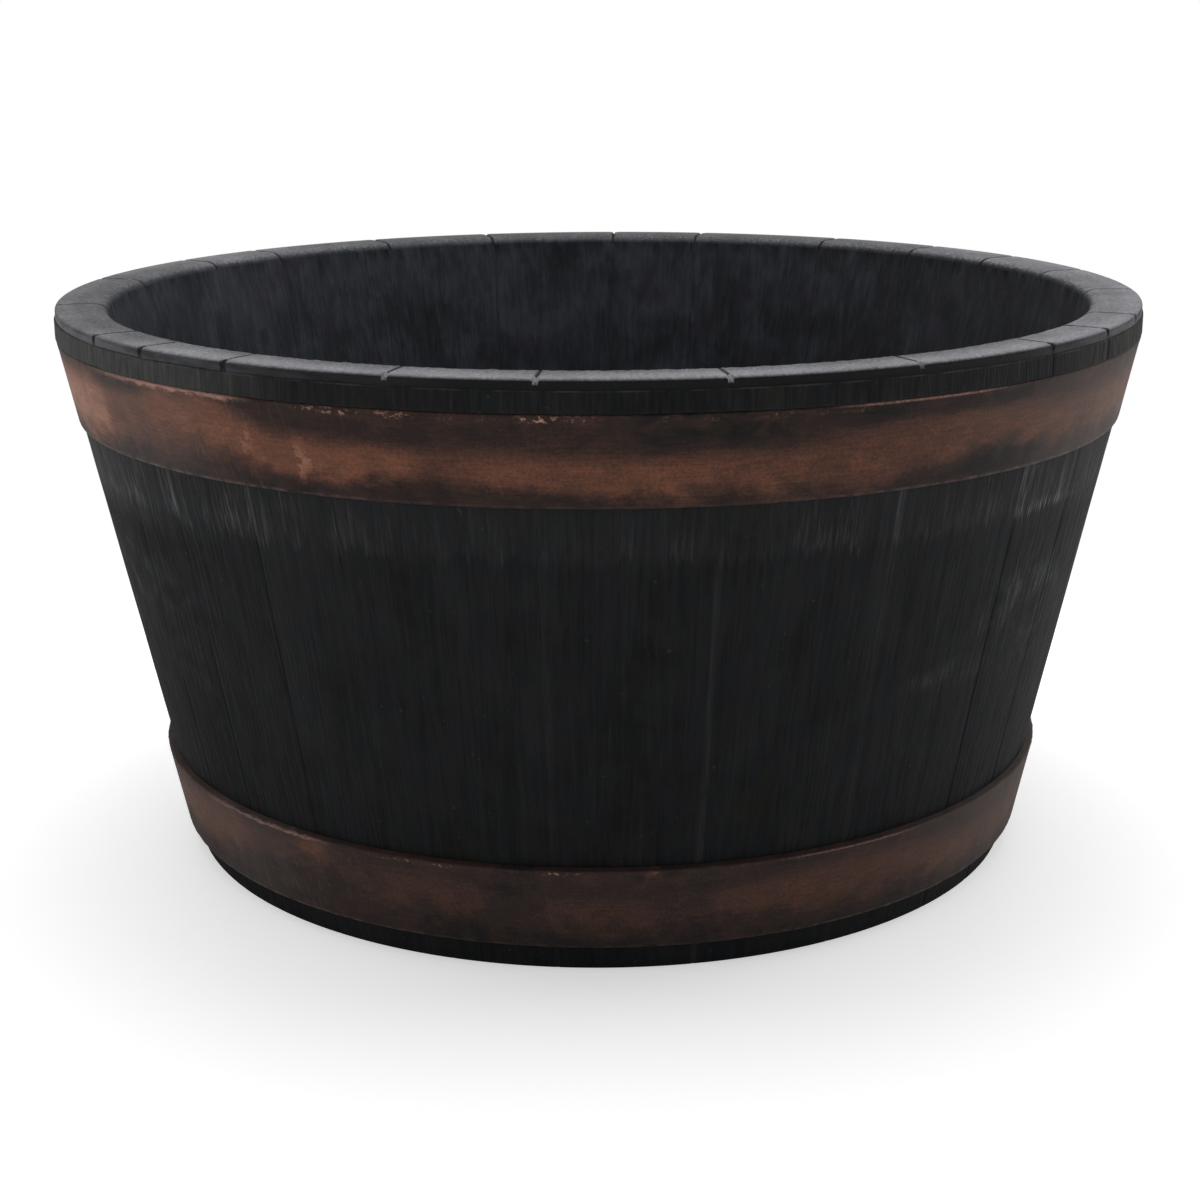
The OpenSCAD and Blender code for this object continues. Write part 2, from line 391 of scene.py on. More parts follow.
@dataclass
class Turning:
    """A piece turned on a lathe from an outline, with its columns drawn close at every stave joint.

    Attributes:
        name: The piece's name.
        outline: The cut that is turned.
        layout: Where the staves meet.
        weld: Turned points that lie closer than this become one.
        obj: The turned object.
        row: The outline's point that each vertex belongs to.
        bearing: Each vertex's bearing in radians.
    """

    name: str
    outline: Outline
    layout: StaveLayout
    weld: float = 0.004 * MM
    obj: bpy.types.Object | None = None
    row: np.ndarray | None = None
    bearing: np.ndarray | None = None

    def turn(self) -> None:
        """Draws the outline as a chain of points, turns it once round and lays its grain."""
        deselect()
        columns = self.layout.columns()
        points = self.outline.points
        last = len(points) - 1
        bpy.ops.mesh.primitive_plane_add(size=1 * MM, location=(0, 0, 0))
        self.obj = bpy.context.object
        self.obj.name = self.obj.data.name = self.name
        with edit_mode():
            bpy.ops.mesh.select_all(action="SELECT")
            bpy.ops.mesh.merge(type="CENTER")
            bpy.ops.transform.translate(value=(0, -points[0][0], points[0][1]))
            for (r0, z0), (r1, z1) in zip(points[:-1], points[1:]):
                step = {"value": (0, r0 - r1, z1 - z0)}
                bpy.ops.mesh.extrude_vertices_move(TRANSFORM_OT_translate=step)
            if self.outline.closed:
                self.fill(np.array([0, last]))
        apply_modifier(self.obj, "SCREW", axis="Z", angle=TURN, steps=len(columns),
                       render_steps=len(columns), use_merge_vertices=True,
                       merge_threshold=self.weld)
        self.line_up(columns)
        with edit_mode():
            if not self.outline.closed:
                for end in (0, last):
                    self.fill(np.flatnonzero(self.row == end))
            bpy.ops.mesh.select_all(action="SELECT")
            bpy.ops.mesh.normals_make_consistent(inside=False)
        self.lay_grain()

    def fill(self, picked: np.ndarray) -> None:
        """Joins some vertices with an edge or a face, in edit mode.

        Args:
            picked: Their numbers.
        """
        bpy.ops.mesh.select_all(action="DESELECT")
        bpy.ops.object.mode_set(mode="OBJECT")
        chosen = np.zeros(len(self.obj.data.vertices), bool)
        chosen[picked] = True
        self.obj.data.vertices.foreach_set("select", chosen)
        bpy.ops.object.mode_set(mode="EDIT")
        bpy.ops.mesh.select_mode(type="VERT")
        bpy.ops.mesh.edge_face_add()

    def places(self) -> np.ndarray:
        """Gives the vertices' places.

        Returns:
            Rows of x, y and z.
        """
        flat = np.empty(len(self.obj.data.vertices) * 3)
        self.obj.data.vertices.foreach_get("co", flat)
        return flat.reshape(-1, 3)

    def drawn(self) -> np.ndarray:
        """Gives the radius and height that the outline has at each vertex."""
        return np.array(self.outline.points)[self.row]

    def line_up(self, columns: np.ndarray) -> None:
        """Moves the evenly turned columns to the bearings that the stave joints ask for.

        Args:
            columns: The wanted bearings, one for each turned column.
        """
        p = self.places()
        r = np.hypot(p[:, 0], p[:, 1])
        even = np.mod(np.arctan2(p[:, 0], -p[:, 1]), TURN) * len(columns) / TURN
        self.bearing = columns[np.round(even).astype(int) % len(columns)]
        points = np.array(self.outline.points)
        off = np.abs(r[:, None] - points[:, 0]) + np.abs(p[:, 2, None] - points[:, 1])
        self.row = np.argmin(off, axis=1)
        r, z = self.drawn().T
        p = np.stack([r * np.sin(self.bearing), -r * np.cos(self.bearing), z], 1)
        self.obj.data.vertices.foreach_set("co", p.ravel())
        self.obj.data.update()

    def weigh(self, name: str, weights: np.ndarray, fineness: int = 250) -> None:
        """Stores weights as a vertex group.

        Args:
            name: The group's name.
            weights: One weight for each vertex, from 0 to 1.
            fineness: Number of steps that the weights are rounded to.
        """
        group = self.obj.vertex_groups.new(name=name)
        steps = np.round(np.clip(weights, 0, 1) * fineness).astype(int)
        for step in np.unique(steps[steps > 0]):
            group.add(np.flatnonzero(steps == step).tolist(), step / fineness, "REPLACE")

    def push(self, name: str, weights: np.ndarray, distance: float,
             texture: bpy.types.Texture | None = None) -> None:
        """Moves the surface along its normal with a Displace modifier.

        Args:
            name: Name of the vertex group that holds the weights.
            weights: How much of the distance each vertex moves.
            distance: Distance of a full move, outwards where positive.
            texture: Texture on the relief map that varies the move either way, if any.
        """
        self.weigh(name, weights)
        settings: dict[str, object] = {"vertex_group": name, "strength": distance,
                                       "mid_level": 0.0, "direction": "NORMAL"}
        if texture is not None:
            settings |= {"texture": texture, "texture_coords": "UV", "uv_layer": "relief",
                         "mid_level": 0.5}
        apply_modifier(self.obj, "DISPLACE", **settings)
        self.obj.vertex_groups.remove(self.obj.vertex_groups[name])

    def zone_mask(self, *zones: Zone) -> np.ndarray:
        """Gives 1 for a vertex whose row belongs to one of some zones, and 0 elsewhere."""
        wanted = np.array([zone in zones for zone in self.outline.zones], float)
        return wanted[np.clip(self.row, 0, len(wanted) - 1)]

    def lay_grain(self) -> None:
        """Writes the UV maps and the joint and stave attributes that the finishes read.

        The map called grain holds metres round the tub and along the outline; relief is the same
        map drawn out along the outline, for the modifiers. joint falls from 1 at a stave joint to
        0 a few millimetres away, and stave is the stave's own number.
        """
        mesh = self.obj.data
        total = np.empty(len(mesh.polygons), int)
        mesh.polygons.foreach_get("loop_total", total)
        corner = np.empty(len(mesh.loops), int)
        mesh.loops.foreach_get("vertex_index", corner)
        face = np.repeat(np.arange(len(total)), total)
        row, p = self.row[corner], self.places()[corner]
        centre = np.stack([np.bincount(face, p[:, k]) for k in range(2)], 1) / total[:, None]
        middle = np.arctan2(centre[:, 0], -centre[:, 1])
        around = self.bearing[corner]
        around = around + TURN * np.round((middle[face] - around) / TURN)
        lengths = self.outline.lengths()
        low, high = np.full(len(total), len(lengths)), np.zeros(len(total), int)
        np.minimum.at(low, face, row)
        np.maximum.at(high, face, row)
        wraps = (high - low > 1)[face] & (row == 0) & self.outline.closed
        along = np.where(wraps, lengths[-1] + 1 * MM, lengths[row])
        flat = (total > CAP_CORNERS)[face]
        u = np.where(flat, p[:, 0], around * self.layout.rim_r)
        v = np.where(flat, p[:, 1], along)
        for name, squash, scale in (("grain", 1.0, 1.0), ("relief", 0.12, 100.0)):
            layer = mesh.uv_layers.new(name=name)
            layer.data.foreach_set("uv", np.stack([u * scale, v * squash * scale], 1).ravel())
        _, gap, _ = self.layout.nearest(self.bearing)
        stave, _, _ = self.layout.nearest(middle)
        joint = np.clip(1 - gap / self.layout.beside[-1], 0, 1)
        for name, domain, values in (("joint", "POINT", joint), ("stave", "FACE", stave)):
            layer = mesh.attributes.new(name, "FLOAT", domain)
            layer.data.foreach_set("value", values.astype(float))

    def crown_staves(self, mask: np.ndarray, height: float, least: float = 0.3,
                     seed: int = 7) -> None:
        """Bows every stave a little and sets each one a touch in or out of line.

        Args:
            mask: How much each vertex takes part, from 0 to 1.
            height: Height of the bow at a stave's middle.
            least: Share of the bow that the flattest stave may have.
            seed: Starts the random draws.
        """
        stave, gap, width = self.layout.nearest(self.bearing)
        rise = 1 - (1 - 2 * gap / width) ** 4
        level = np.random.default_rng(seed).uniform(least, 1.0, len(self.layout.widths))
        self.push("crown", mask * rise * level[stave], height)

    def carve_joints(self, depths: dict[Zone, float], half: float) -> None:
        """Cuts the V-shaped grooves at the stave joints.

        Args:
            depths: Depth of a wide open joint's groove by zone.
            half: Half its width.
        """
        _, gap, _ = self.layout.nearest(self.bearing)
        deepest = max(depths.values())
        weights = np.zeros(len(gap))
        for zone, depth in depths.items():
            weights += self.zone_mask(zone) * np.clip(1 - gap / half, 0, 1) * depth / deepest
        self.push("joints", weights * self.layout.openness(self.bearing), -deepest)


@dataclass(frozen=True)
class TubSizes:
    """Sizes of the tub, shared by its parts, in metres and degrees.

    Attributes:
        rim_r: Radius of the shoulder under the rim.
        height: Height of the rim's top.
        taper: How far the walls lean out from upright.
        wall_t: Thickness of both walls.
        rim_w: Width of the rim.
        rim_t: Thickness of the rim at its edge.
        rim_inset: How far the rim's edge stands in from the shoulder.
        shoulder_h: Height of the shoulder.
        shoulder_proud: How far the shoulder stands out from the wall.
        foot_h: Height of the bare foot under the lower strap.
        shell_floor: Height of the underside of the shell's floor.
        floor_t: Thickness of both floors.
        floor_gap: Space between the floors.
        ring_w: Width of the standing ring.
        lip_gap: Space between the liner's lip and the shell.
        lip_t: Thickness of the lip.
        drain_ring_r: Distance of the drain holes from the axis.
        drain_r: Radius of a drain hole.
        groove_half: Half the width of a stave joint's groove.
    """

    rim_r: float = 245 * MM
    height: float = 251.5 * MM
    taper: float = 11.7
    wall_t: float = 3.5 * MM
    rim_w: float = 23.3 * MM
    rim_t: float = 4.3 * MM
    rim_inset: float = 0.4 * MM
    shoulder_h: float = 8.5 * MM
    shoulder_proud: float = 1.7 * MM
    foot_h: float = 11.8 * MM
    shell_floor: float = 6 * MM
    floor_t: float = 3.5 * MM
    floor_gap: float = 10 * MM
    ring_w: float = 9 * MM
    lip_gap: float = 0.3 * MM
    lip_t: float = 2.5 * MM
    drain_ring_r: float = 115 * MM
    drain_r: float = 10 * MM
    groove_half: float = 0.72 * MM

    @property
    def lean(self) -> float:
        """Sideways run of the wall for each unit of height."""
        return math.tan(math.radians(self.taper))

    @property
    def rim_bottom(self) -> float:
        """Height of the rim's underside."""
        return self.height - self.rim_t

    @property
    def shoulder_bottom(self) -> float:
        """Height of the shoulder's lower edge."""
        return self.rim_bottom - self.shoulder_h

    @property
    def shell_floor_top(self) -> float:
        """Height of the shell's floor."""
        return self.shell_floor + self.floor_t

    @property
    def liner_floor_bottom(self) -> float:
        """Height of the liner floor's underside."""
        return self.shell_floor_top + self.floor_gap

    @property
    def liner_floor_top(self) -> float:
        """Height of the liner's floor."""
        return self.liner_floor_bottom + self.floor_t

    def wall_r(self, z: float) -> float:
        """Gives the outer wall's radius at a height."""
        return self.rim_r - self.shoulder_proud - (self.shoulder_bottom - z) * self.lean

    def liner_r(self, z: float) -> float:
        """Gives the inner wall's radius at a height."""
        return self.rim_r - self.rim_w - (self.rim_bottom - z) * self.lean

    def at_drains(self, radius: float, low: float, high: float) -> list[bpy.types.Object]:
        """Stands a cylinder in each drain hole.

        Args:
            radius: The cylinders' radius.
            low: Height of their lower ends.
            high: Height of their upper ends.

        Returns:
            The four cylinders.
        """
        made: list[bpy.types.Object] = []
        for n in range(len(SIDES)):
            a = math.radians(90 * n)
            x, y = self.drain_ring_r * math.sin(a), -self.drain_ring_r * math.cos(a)
            made.append(cylinder(radius, high - low, (x, y, (low + high) / 2)))
        return made

    def drill_drains(self, obj: bpy.types.Object, low: float, high: float) -> None:
        """Drills the drain holes into a piece, from one height to another."""
        cut_away(obj, join(self.at_drains(self.drain_r, low, high), "drills"))


class Signal:
    """An output socket of a shader's node, which takes part in sums and products."""

    def __init__(self, recipe: "Recipe", made: bpy.types.Node, output: str | int) -> None:
        """Holds a node, the output that is read and the recipe that it belongs to."""
        self.recipe, self.made, self.output = recipe, made, output

    @property
    def socket(self) -> bpy.types.NodeSocket:
        """The output's socket."""
        return self.made.outputs[self.output]

    def __add__(self, other: "Signal | float") -> "Signal":
        """Adds."""
        return self.recipe.maths("ADD", self, other)

    __radd__ = __add__

    def __sub__(self, other: "Signal | float") -> "Signal":
        """Takes away."""
        return self.recipe.maths("SUBTRACT", self, other)

    def __rsub__(self, other: float) -> "Signal":
        """Is taken away from a number."""
        return self.recipe.maths("SUBTRACT", other, self)

    def __mul__(self, other: "Signal | float") -> "Signal":
        """Multiplies."""
        return self.recipe.maths("MULTIPLY", self, other)

    __rmul__ = __mul__

    def __truediv__(self, other: "Signal | float") -> "Signal":
        """Divides."""
        return self.recipe.maths("DIVIDE", self, other)

    def __rtruediv__(self, other: float) -> "Signal":
        """Divides a number."""
        return self.recipe.maths("DIVIDE", other, self)

    def __abs__(self) -> "Signal":
        """Drops the sign."""
        return self.recipe.maths("ABSOLUTE", self)

    def sibling(self, output: str | int) -> "Signal":
        """Hands on another output of the same node."""
        return Signal(self.recipe, self.made, output)

    def ease(self, low: float, high: float) -> "Signal":
        """Eases from 0 at low to 1 at high; low may be the larger."""
        return self.recipe.node("ShaderNodeMapRange", {"interpolation_type": "SMOOTHSTEP"},
                                {"Value": self, "From Min": low, "From Max": high})

    def between(self, low: float, high: float, soft: float) -> "Signal":
        """Gives 1 between two values and fades to 0 over twice a softness at each."""
        return self.ease(low - soft, low + soft) * self.ease(high + soft, high - soft)

    def near(self, centre: float, reach: float) -> "Signal":
        """Gives 1 at a value and fades to 0 a reach away."""
        return abs(self - centre).ease(reach, 0)

    def swing(self, reach: float) -> "Signal":
        """Stretches a noise round a half to a spread that goes a reach either way of zero."""
        return (self.ease(0.3, 0.7) - 0.5) * (2 * reach)

    def follow(self, points: Curve) -> "Signal":
        """Reads a smooth curve drawn through some points.

        Args:
            points: Values of this signal, rising, each with the result there.

        Returns:
            The curve's height.
        """
        start, end = points[0][0], points[-1][0]
        low = min(y for _, y in points)
        span = max(y for _, y in points) - low
        drawn = [((x - start) / (end - start), (y - low) / span) for x, y in points]
        place = (self - start) / (end - start)
        height = self.recipe.node("ShaderNodeFloatCurve", {"curve": drawn}, {"Value": place})
        return height * span + low


Input = Signal | float | tuple[float, ...]


def srgb(red: float, green: float, blue: float) -> Colour:
    """Turns a colour of 0 to 255 as shown on a screen into a linear one.

    Args:
        red: Red.
        green: Green.
        blue: Blue.

    Returns:
        The linear colour with an alpha of 1.
    """
    def line(v: float) -> float:
        """Straightens one channel."""
        v /= 255
        return v / 12.92 if v <= 0.04045 else ((v + 0.055) / 1.055) ** 2.4
    return line(red), line(green), line(blue), 1.0


class Recipe:
    """The shader of a material or of the world, built from one node method and sums of signals."""

    def __init__(self, owner: bpy.types.Material | bpy.types.World) -> None:
        """Empties the owner's node tree.

        Args:
            owner: A new material or world.
        """
        owner.use_nodes = True
        self.owner, self.tree = owner, owner.node_tree
        self.tree.nodes.clear()

    def node(self, kind: str, settings: dict[str, object] | None = None,
             inputs: dict[str | int, Input] | None = None, output: str | int = 0) -> Signal:
        """Adds a node.

        Args:
            kind: The node's type.
            settings: Its settings, set first; a curve takes its points under the name curve.
            inputs: Values or signals for its sockets, by name or number.
            output: The output to hand on, by name or number.

        Returns:
            The output as a signal.
        """
        made = self.tree.nodes.new(kind)
        for name, value in (settings or {}).items():
            if name == "curve":
                line = made.mapping.curves[0]
                line.points[0].location, line.points[1].location = value[0], value[-1]
                for place in value[1:-1]:
                    line.points.new(*place)
                made.mapping.extend = "HORIZONTAL"
                made.mapping.update()
            else:
                setattr(made, name, value)
        for name, value in (inputs or {}).items():
            if isinstance(value, Signal):
                self.tree.links.new(value.socket, made.inputs[name])
            else:
                made.inputs[name].default_value = value
        return Signal(self, made, output)

    def maths(self, operation: str, *values: Signal | float) -> Signal:
        """Adds a Math node with its inputs in order."""
        return self.node("ShaderNodeMath", {"operation": operation}, dict(enumerate(values)))

    def mix(self, share: Signal | float, first: Input, second: Input, blend: str = "MIX") -> Signal:
        """Mixes two colours, with a share of the second."""
        return self.node("ShaderNodeMix", {"data_type": "RGBA", "blend_type": blend},
                         {0: share, 6: first, 7: second}, 2)

    def place(self) -> Signal:
        """Reads the place on the object."""
        return self.node("ShaderNodeTexCoord", output="Object")

    def attribute(self, name: str) -> Signal:
        """Reads a number that the mesh carries."""
        return self.node("ShaderNodeAttribute", {"attribute_name": name}, output="Fac")

    def vector(self, x: Signal | float, y: Signal | float, z: Signal | float) -> Signal:
        """Puts three numbers into a vector."""
        return self.node("ShaderNodeCombineXYZ", None, {0: x, 1: y, 2: z})

    def split(self, vector: Signal) -> tuple[Signal, Signal, Signal]:
        """Takes a vector apart."""
        x = self.node("ShaderNodeSeparateXYZ", None, {0: vector})
        return x, x.sibling(1), x.sibling(2)

    def noise(self, vector: Signal, scale: float = 1.0, detail: float = 2.0, rough: float = 0.5,
              twist: float = 0.0) -> Signal:
        """Adds a noise of values round a half.

        Args:
            vector: Where it is read.
            scale: Its scale.
            detail: How many finer layers it has.
            rough: How strong they are.
            twist: How much it is distorted.

        Returns:
            The noise.
        """
        return self.node("ShaderNodeTexNoise", {"noise_dimensions": "3D"},
                         {"Vector": vector, "Scale": scale, "Detail": detail, "Roughness": rough,
                          "Distortion": twist})

    def bumps(self, *layers: tuple[Signal, float]) -> Signal:
        """Turns heights into a bent normal, each laid on the one before.

        Args:
            layers: Each height, with the distance that a height of 1 stands proud.

        Returns:
            The normal.
        """
        normal: dict[str | int, Input] = {}
        for height, distance in layers:
            inputs = {"Height": height, "Strength": 1.0, "Distance": distance} | normal
            normal = {"Normal": self.node("ShaderNodeBump", None, inputs)}
        return normal["Normal"]

    def surface(self, colour: Input, roughness: Input, normal: Signal, specular: float,
                metallic: Input = 0.0) -> bpy.types.Material:
        """Ends the recipe in a Principled shader.

        Args:
            colour: Base colour.
            roughness: Roughness.
            normal: Bent normal.
            specular: Specular level.
            metallic: How metallic it is.

        Returns:
            The material.
        """
        inputs = {"Base Color": colour, "Roughness": roughness, "Specular IOR Level": specular,
                  "Metallic": metallic, "Normal": normal}
        self.finish(self.node("ShaderNodeBsdfPrincipled", None, inputs))
        return self.owner

    def finish(self, shader: Signal) -> None:
        """Joins a shader to the owner's output."""
        kind = "World" if isinstance(self.owner, bpy.types.World) else "Material"
        self.node(f"ShaderNodeOutput{kind}", None, {"Surface": shader})


class TubRecipe(Recipe):
    """A recipe that knows places on the tub and its grain.

    Bearings are in degrees right of the front, and heights in millimetres above the ground.
    """

    def __init__(self, name: str) -> None:
        """Reads the place on the tub and the grain's map.

        Args:
            name: The material's name.
        """
        super().__init__(bpy.data.materials.new(name))
        self.spot = self.place()
        self.x, self.y, z = self.split(self.spot)
        self.bearing = self.maths("ARCTAN2", self.x, self.y * -1) * (180 / math.pi)
        self.height = z * 1000
        self.u, self.v, _ = self.split(self.node("ShaderNodeUVMap", {"uv_map": "grain"}))
        self.stave = self.attribute("stave")
        self.joint = self.attribute("joint")

    def cells(self, across: float, along: float, seed: Signal | float, detail: float = 2.0,
              rough: float = 0.5, twist: float = 0.0) -> Signal:
        """Adds a noise on the grain's map.

        Args:
            across: Its scale round the tub; 1000 makes its cells a millimetre wide.
            along: Its scale along the staves, or 0 for none.
            seed: Sets this noise apart from others.
            detail: How many finer layers it has.
            rough: How strong they are.
            twist: How much it is distorted.

        Returns:
            The noise.
        """
        spot = self.vector(self.u * across, self.v * along if along else 0.0, seed)
        return self.noise(spot, 1.0, detail, rough, twist)

    def streaks(self, width: float, length: float, seed: float, detail: float = 2.0,
                twist: float = 0.0) -> Signal:
        """Adds a noise drawn out along the staves, different on each stave.

        Args:
            width: Width of a streak in millimetres.
            length: Length of a streak in millimetres.
            seed: Sets this noise apart from others.
            detail: How many finer layers it has.
            twist: How much it wanders.

        Returns:
            The noise.
        """
        return self.cells(1000 / width, 1000 / length, self.stave * 3.7 + seed, detail, 0.5, twist)

    def marks(self, places: Curve, reach: float = 2.0) -> Signal:
        """Marks some bearings.

        Args:
            places: The bearings, each with its strength.
            reach: Degrees from a bearing to where its mark ends.

        Returns:
            The marks' sum.
        """
        made = [self.bearing.near(bearing, reach) * strength for bearing, strength in places]
        return sum(made[1:], made[0])

    def patches(self, places: Sequence[Patch]) -> Signal:
        """Marks some soft patches.

        Args:
            places: Each patch's bearing, height, half width, half height and strength.

        Returns:
            The patches' sum.
        """
        made = [self.bearing.near(bearing, reach) * self.height.near(height, tall) * strength
                for bearing, height, reach, tall, strength in places]
        return sum(made[1:], made[0])

    def blots(self, colour: Input, size: float, tall: float,
              tints: Sequence[tuple[Colour, float]]) -> Signal:
        """Tints a colour in soft blots.

        Args:
            colour: The colour.
            size: Rough width of a blot in millimetres.
            tall: Its rough height.
            tints: The tints, each with its share.

        Returns:
            The tinted colour.
        """
        for number, (tint, share) in enumerate(tints):
            blot = self.cells(1000 / size, 1000 / tall, 7.3 * number + 2, 2.0, 0.6, 0.5)
            colour = self.mix(blot.ease(0.5, 0.66) * share, colour, tint)
        return colour


@dataclass(frozen=True)
class StavePlastic:
    """Near-black plastic with moulded wood grain, whitish streaks and a scuffed ring.

    Attributes:
        dark: Colour of the grain's hollows.
        light: Colour of its ridges.
        scuff_and_light: Colour of the wear and the dust, and of the painted highlight and light on
            the shoulder.
        brown: Colour of the strokes on the shoulder.
        tints: Tints of the blots, with their shares.
        chalked: Bearings of the joints that are chalked in the ring, with their strengths.
        greyed: Bearings of the joints that are greyed below it, with their strengths.
        dusty_right: Dusty patches at the right.
        dusty_left: Dusty patches at the left.
        roughness: Middle of the roughness.
        specular: Specular level.
    """

    dark: Colour = srgb(15, 16, 17)
    light: Colour = srgb(34, 35, 37)
    scuff_and_light: Colour = srgb(116, 116, 118)
    brown: Colour = srgb(118, 110, 98)
    tints: tuple[tuple[Colour, float], ...] = ((srgb(16, 27, 30), 0.5), (srgb(30, 33, 24), 0.5),
                                               (srgb(30, 28, 36), 0.35))
    chalked: Curve = ((-34.9, 0.6), (28.9, 0.5), (45.8, 0.95), (-46.6, 0.5))
    greyed: Curve = ((11, 0.11), (-5.3, 0.05), (28.9, 0.08))
    dusty_right: tuple[Patch, ...] = ((53, 142, 14, 24, 0.9), (41, 114, 13, 13, 0.4),
                                      (56, 116, 9, 14, 0.5))
    dusty_left: tuple[Patch, ...] = ((-60, 147, 18, 26, 0.5), (-54, 112, 12, 20, 0.25))
    roughness: float = 0.66
    specular: float = 0.16

    def make(self) -> bpy.types.Material:
        """Builds the material.

        Returns:
            The material.
        """
        r = TubRecipe("stave_plastic")
        ridge = r.streaks(2.2, 44, 1.3, 3.0, 0.5)
        fine = r.streaks(1.0, 24, 11.7, 2.0, 0.3)
        crack = abs(r.streaks(3.8, 80, 17.9, 2.0, 0.7) - 0.5).ease(0.025, 0.0)
        lines = ridge.ease(0.34, 0.66) * 0.32 + fine.ease(0.3, 0.7) * 0.26 - crack * 0.2
        base = r.mix((lines + self.tone(r)).ease(0.0, 1.0), self.dark, self.light)
        base = r.blots(base, 13, 19, self.tints)
        sides = abs(r.bearing)
        # Wear and dust lighten the colour, and so do the painted highlight and light that dust()
        # lays on the shoulder
        worn = self.ring_wear(r, sides) + self.dust(r, sides) + self.joint_wear(r)
        colour = r.mix(r.maths("MINIMUM", worn, 1.0), base, self.scuff_and_light)
        colour = r.mix(self.shoulder_strokes(r), colour, self.brown)
        shut = r.joint.ease(0.4, 0.9) * r.bearing.between(41, 62, 2) * r.height.ease(237.5, 238.5)
        colour = r.mix(shut * 0.8, colour, self.dark)
        normal = r.bumps((ridge.ease(0.3, 0.7) - crack * 0.6, 0.20 * MM), (fine, 0.18 * MM),
                         (r.noise(r.spot, 900, 2.0), 0.06 * MM))
        matt = r.bearing.ease(-34, -54) * 0.17 + r.bearing.ease(28, 52) * 0.05
        rough = self.roughness + (fine - 0.5) * 0.2 + worn * 0.15 + matt * r.height.ease(179, 167)
        return r.surface(colour, rough, normal, self.specular)

    def tone(self, r: TubRecipe) -> Signal:
        """Lightens and darkens the wall in broad areas and a little from stave to stave, and paints
        light on the foot and shade at both sides.

        Args:
            r: The recipe.

        Returns:
            How light the wall is.
        """
        broad = r.streaks(12, 90, 5.1, 2.0, 0.4)
        cloud = r.noise(r.spot, 38, 3.0, 0.6)
        own = r.node("ShaderNodeTexWhiteNoise", {"noise_dimensions": "1D"}, {"W": r.stave})
        mottle = (broad - 0.5) * 0.7 + (cloud - 0.5) * 1.2 + (own - 0.5) * 0.12 + 0.18
        # Lighter towards the top; painted light lifts the foot, which the floor shades
        by_height = r.height.ease(70, 210) * 0.12 + r.height.ease(15, 8) * 0.25
        # Painted shade darkens the wall at its left and right sides
        return mottle + by_height - r.bearing.ease(-30, -54) * 0.36 - r.bearing.ease(48, 64) * 0.16

    def ring_wear(self, r: TubRecipe, sides: Signal) -> Signal:
        """Lays whitish streaks in the ring that the next tub in a stack rubs.

        Args:
            r: The recipe.
            sides: Distance from the front in degrees.

        Returns:
            How worn the surface is.
        """
        ragged = r.streaks(2.6, 60, 23.0, 2.0).swing(3.0)
        ring = (r.height + ragged).ease(178.5, 183.5) * r.height.ease(206, 200)
        patches = r.streaks(13, 50, 27.0, 2.0).ease(0.38, 0.62)
        dry = r.streaks(1.4, 20, 9.4, 3.0, 0.3).ease(0.46, 0.74)
        wisps = r.streaks(0.9, 9, 13.4, 1.0, 0.2).ease(0.5, 0.7)
        rubbed = r.cells(9, 0, 21.0).ease(0.44, 0.6)
        away = sides.ease(64, 82) * (1 - rubbed * 0.7)
        calm = r.bearing.between(30, 44, 4) * 0.38
        share = sides.ease(14, 44) * 0.5 + 0.14 - calm - away * 0.5
        low = r.height.ease(206, 184) * 0.55 + 0.45
        smear = r.bearing.ease(-44, -60) * r.height.near(185, 6) * 0.3
        specks = r.bearing.between(46, 59, 1.5) * r.height.near(182.5, 4) * wisps * 0.7
        streaked = 0.03 + share * low * patches * (dry * 0.8 + wisps * 0.4)
        return ring * streaked + smear * dry + specks

    def dust(self, r: TubRecipe, sides: Signal) -> Signal:
        """Lays dry streaks and specks lower down, most of them at the right, and paints a broken
        highlight along the shoulder's top edge and light on the left of the shoulder.

        Args:
            r: The recipe.
            sides: Distance from the front in degrees.

        Returns:
            How worn the surface is.
        """
        streak = r.streaks(1.3, 12, 14.2, 3.0, 0.3).ease(0.44, 0.72)
        chalky = r.cells(60, 70, 4.0, 3.0, 0.6).ease(0.4, 0.64)
        dusty = r.patches(self.dusty_right) + r.patches(self.dusty_left)
        # Painted highlight: a thin broken light line along the shoulder's top edge, where it
        # catches light from above
        lip = r.height.near(246.9, 0.45) * r.cells(60, 0, 2.0, 3.0).ease(0.42, 0.6) * 0.22
        flecks = r.noise(r.spot, 420, 1.0, 0.5).ease(0.75, 0.80)
        haze = sides.ease(26, 60) * 0.03 * r.streaks(2.0, 50, 33.0).ease(0.35, 0.65)
        # Painted light: the left of the shoulder is lightened, where the light from the left falls
        # stronger
        left = r.bearing.ease(-26, -42) * r.bearing.ease(-100, -70)
        shoulder = r.height.between(238.8, 247.0, 0.6) * left * 0.25
        return (streak * 0.6 + 0.12) * dusty * chalky + lip + flecks * 0.14 + haze + shoulder

    def joint_wear(self, r: TubRecipe) -> Signal:
        """Whitens some of the stave joints.

        Args:
            r: The recipe.

        Returns:
            How worn the surface is.
        """
        broken = r.streaks(3.0, 16, 41.0, 2.0).ease(0.3, 0.6) * 0.6 + 0.4
        white = r.marks(self.chalked) * r.height.between(182, 204, 5) * 0.6
        grey = r.marks(self.greyed) * r.height.ease(195, 170) * 0.8
        return r.joint.ease(0.2, 0.75) * broken * (white + grey)

    def shoulder_strokes(self, r: TubRecipe) -> Signal:
        """Lays brownish upright strokes on the left of the shoulder.

        Args:
            r: The recipe.

        Returns:
            How much they cover.
        """
        stroke = r.streaks(2.0, 14, 45.0, 3.0, 0.3).ease(0.42, 0.72)
        left = r.bearing.ease(-24, -46) * r.bearing.ease(-75, -60) * 0.27
        share = left + 0.05 + r.bearing.ease(44, 60) * 0.2
        return stroke * share * r.height.between(238.6, 247.0, 0.8)


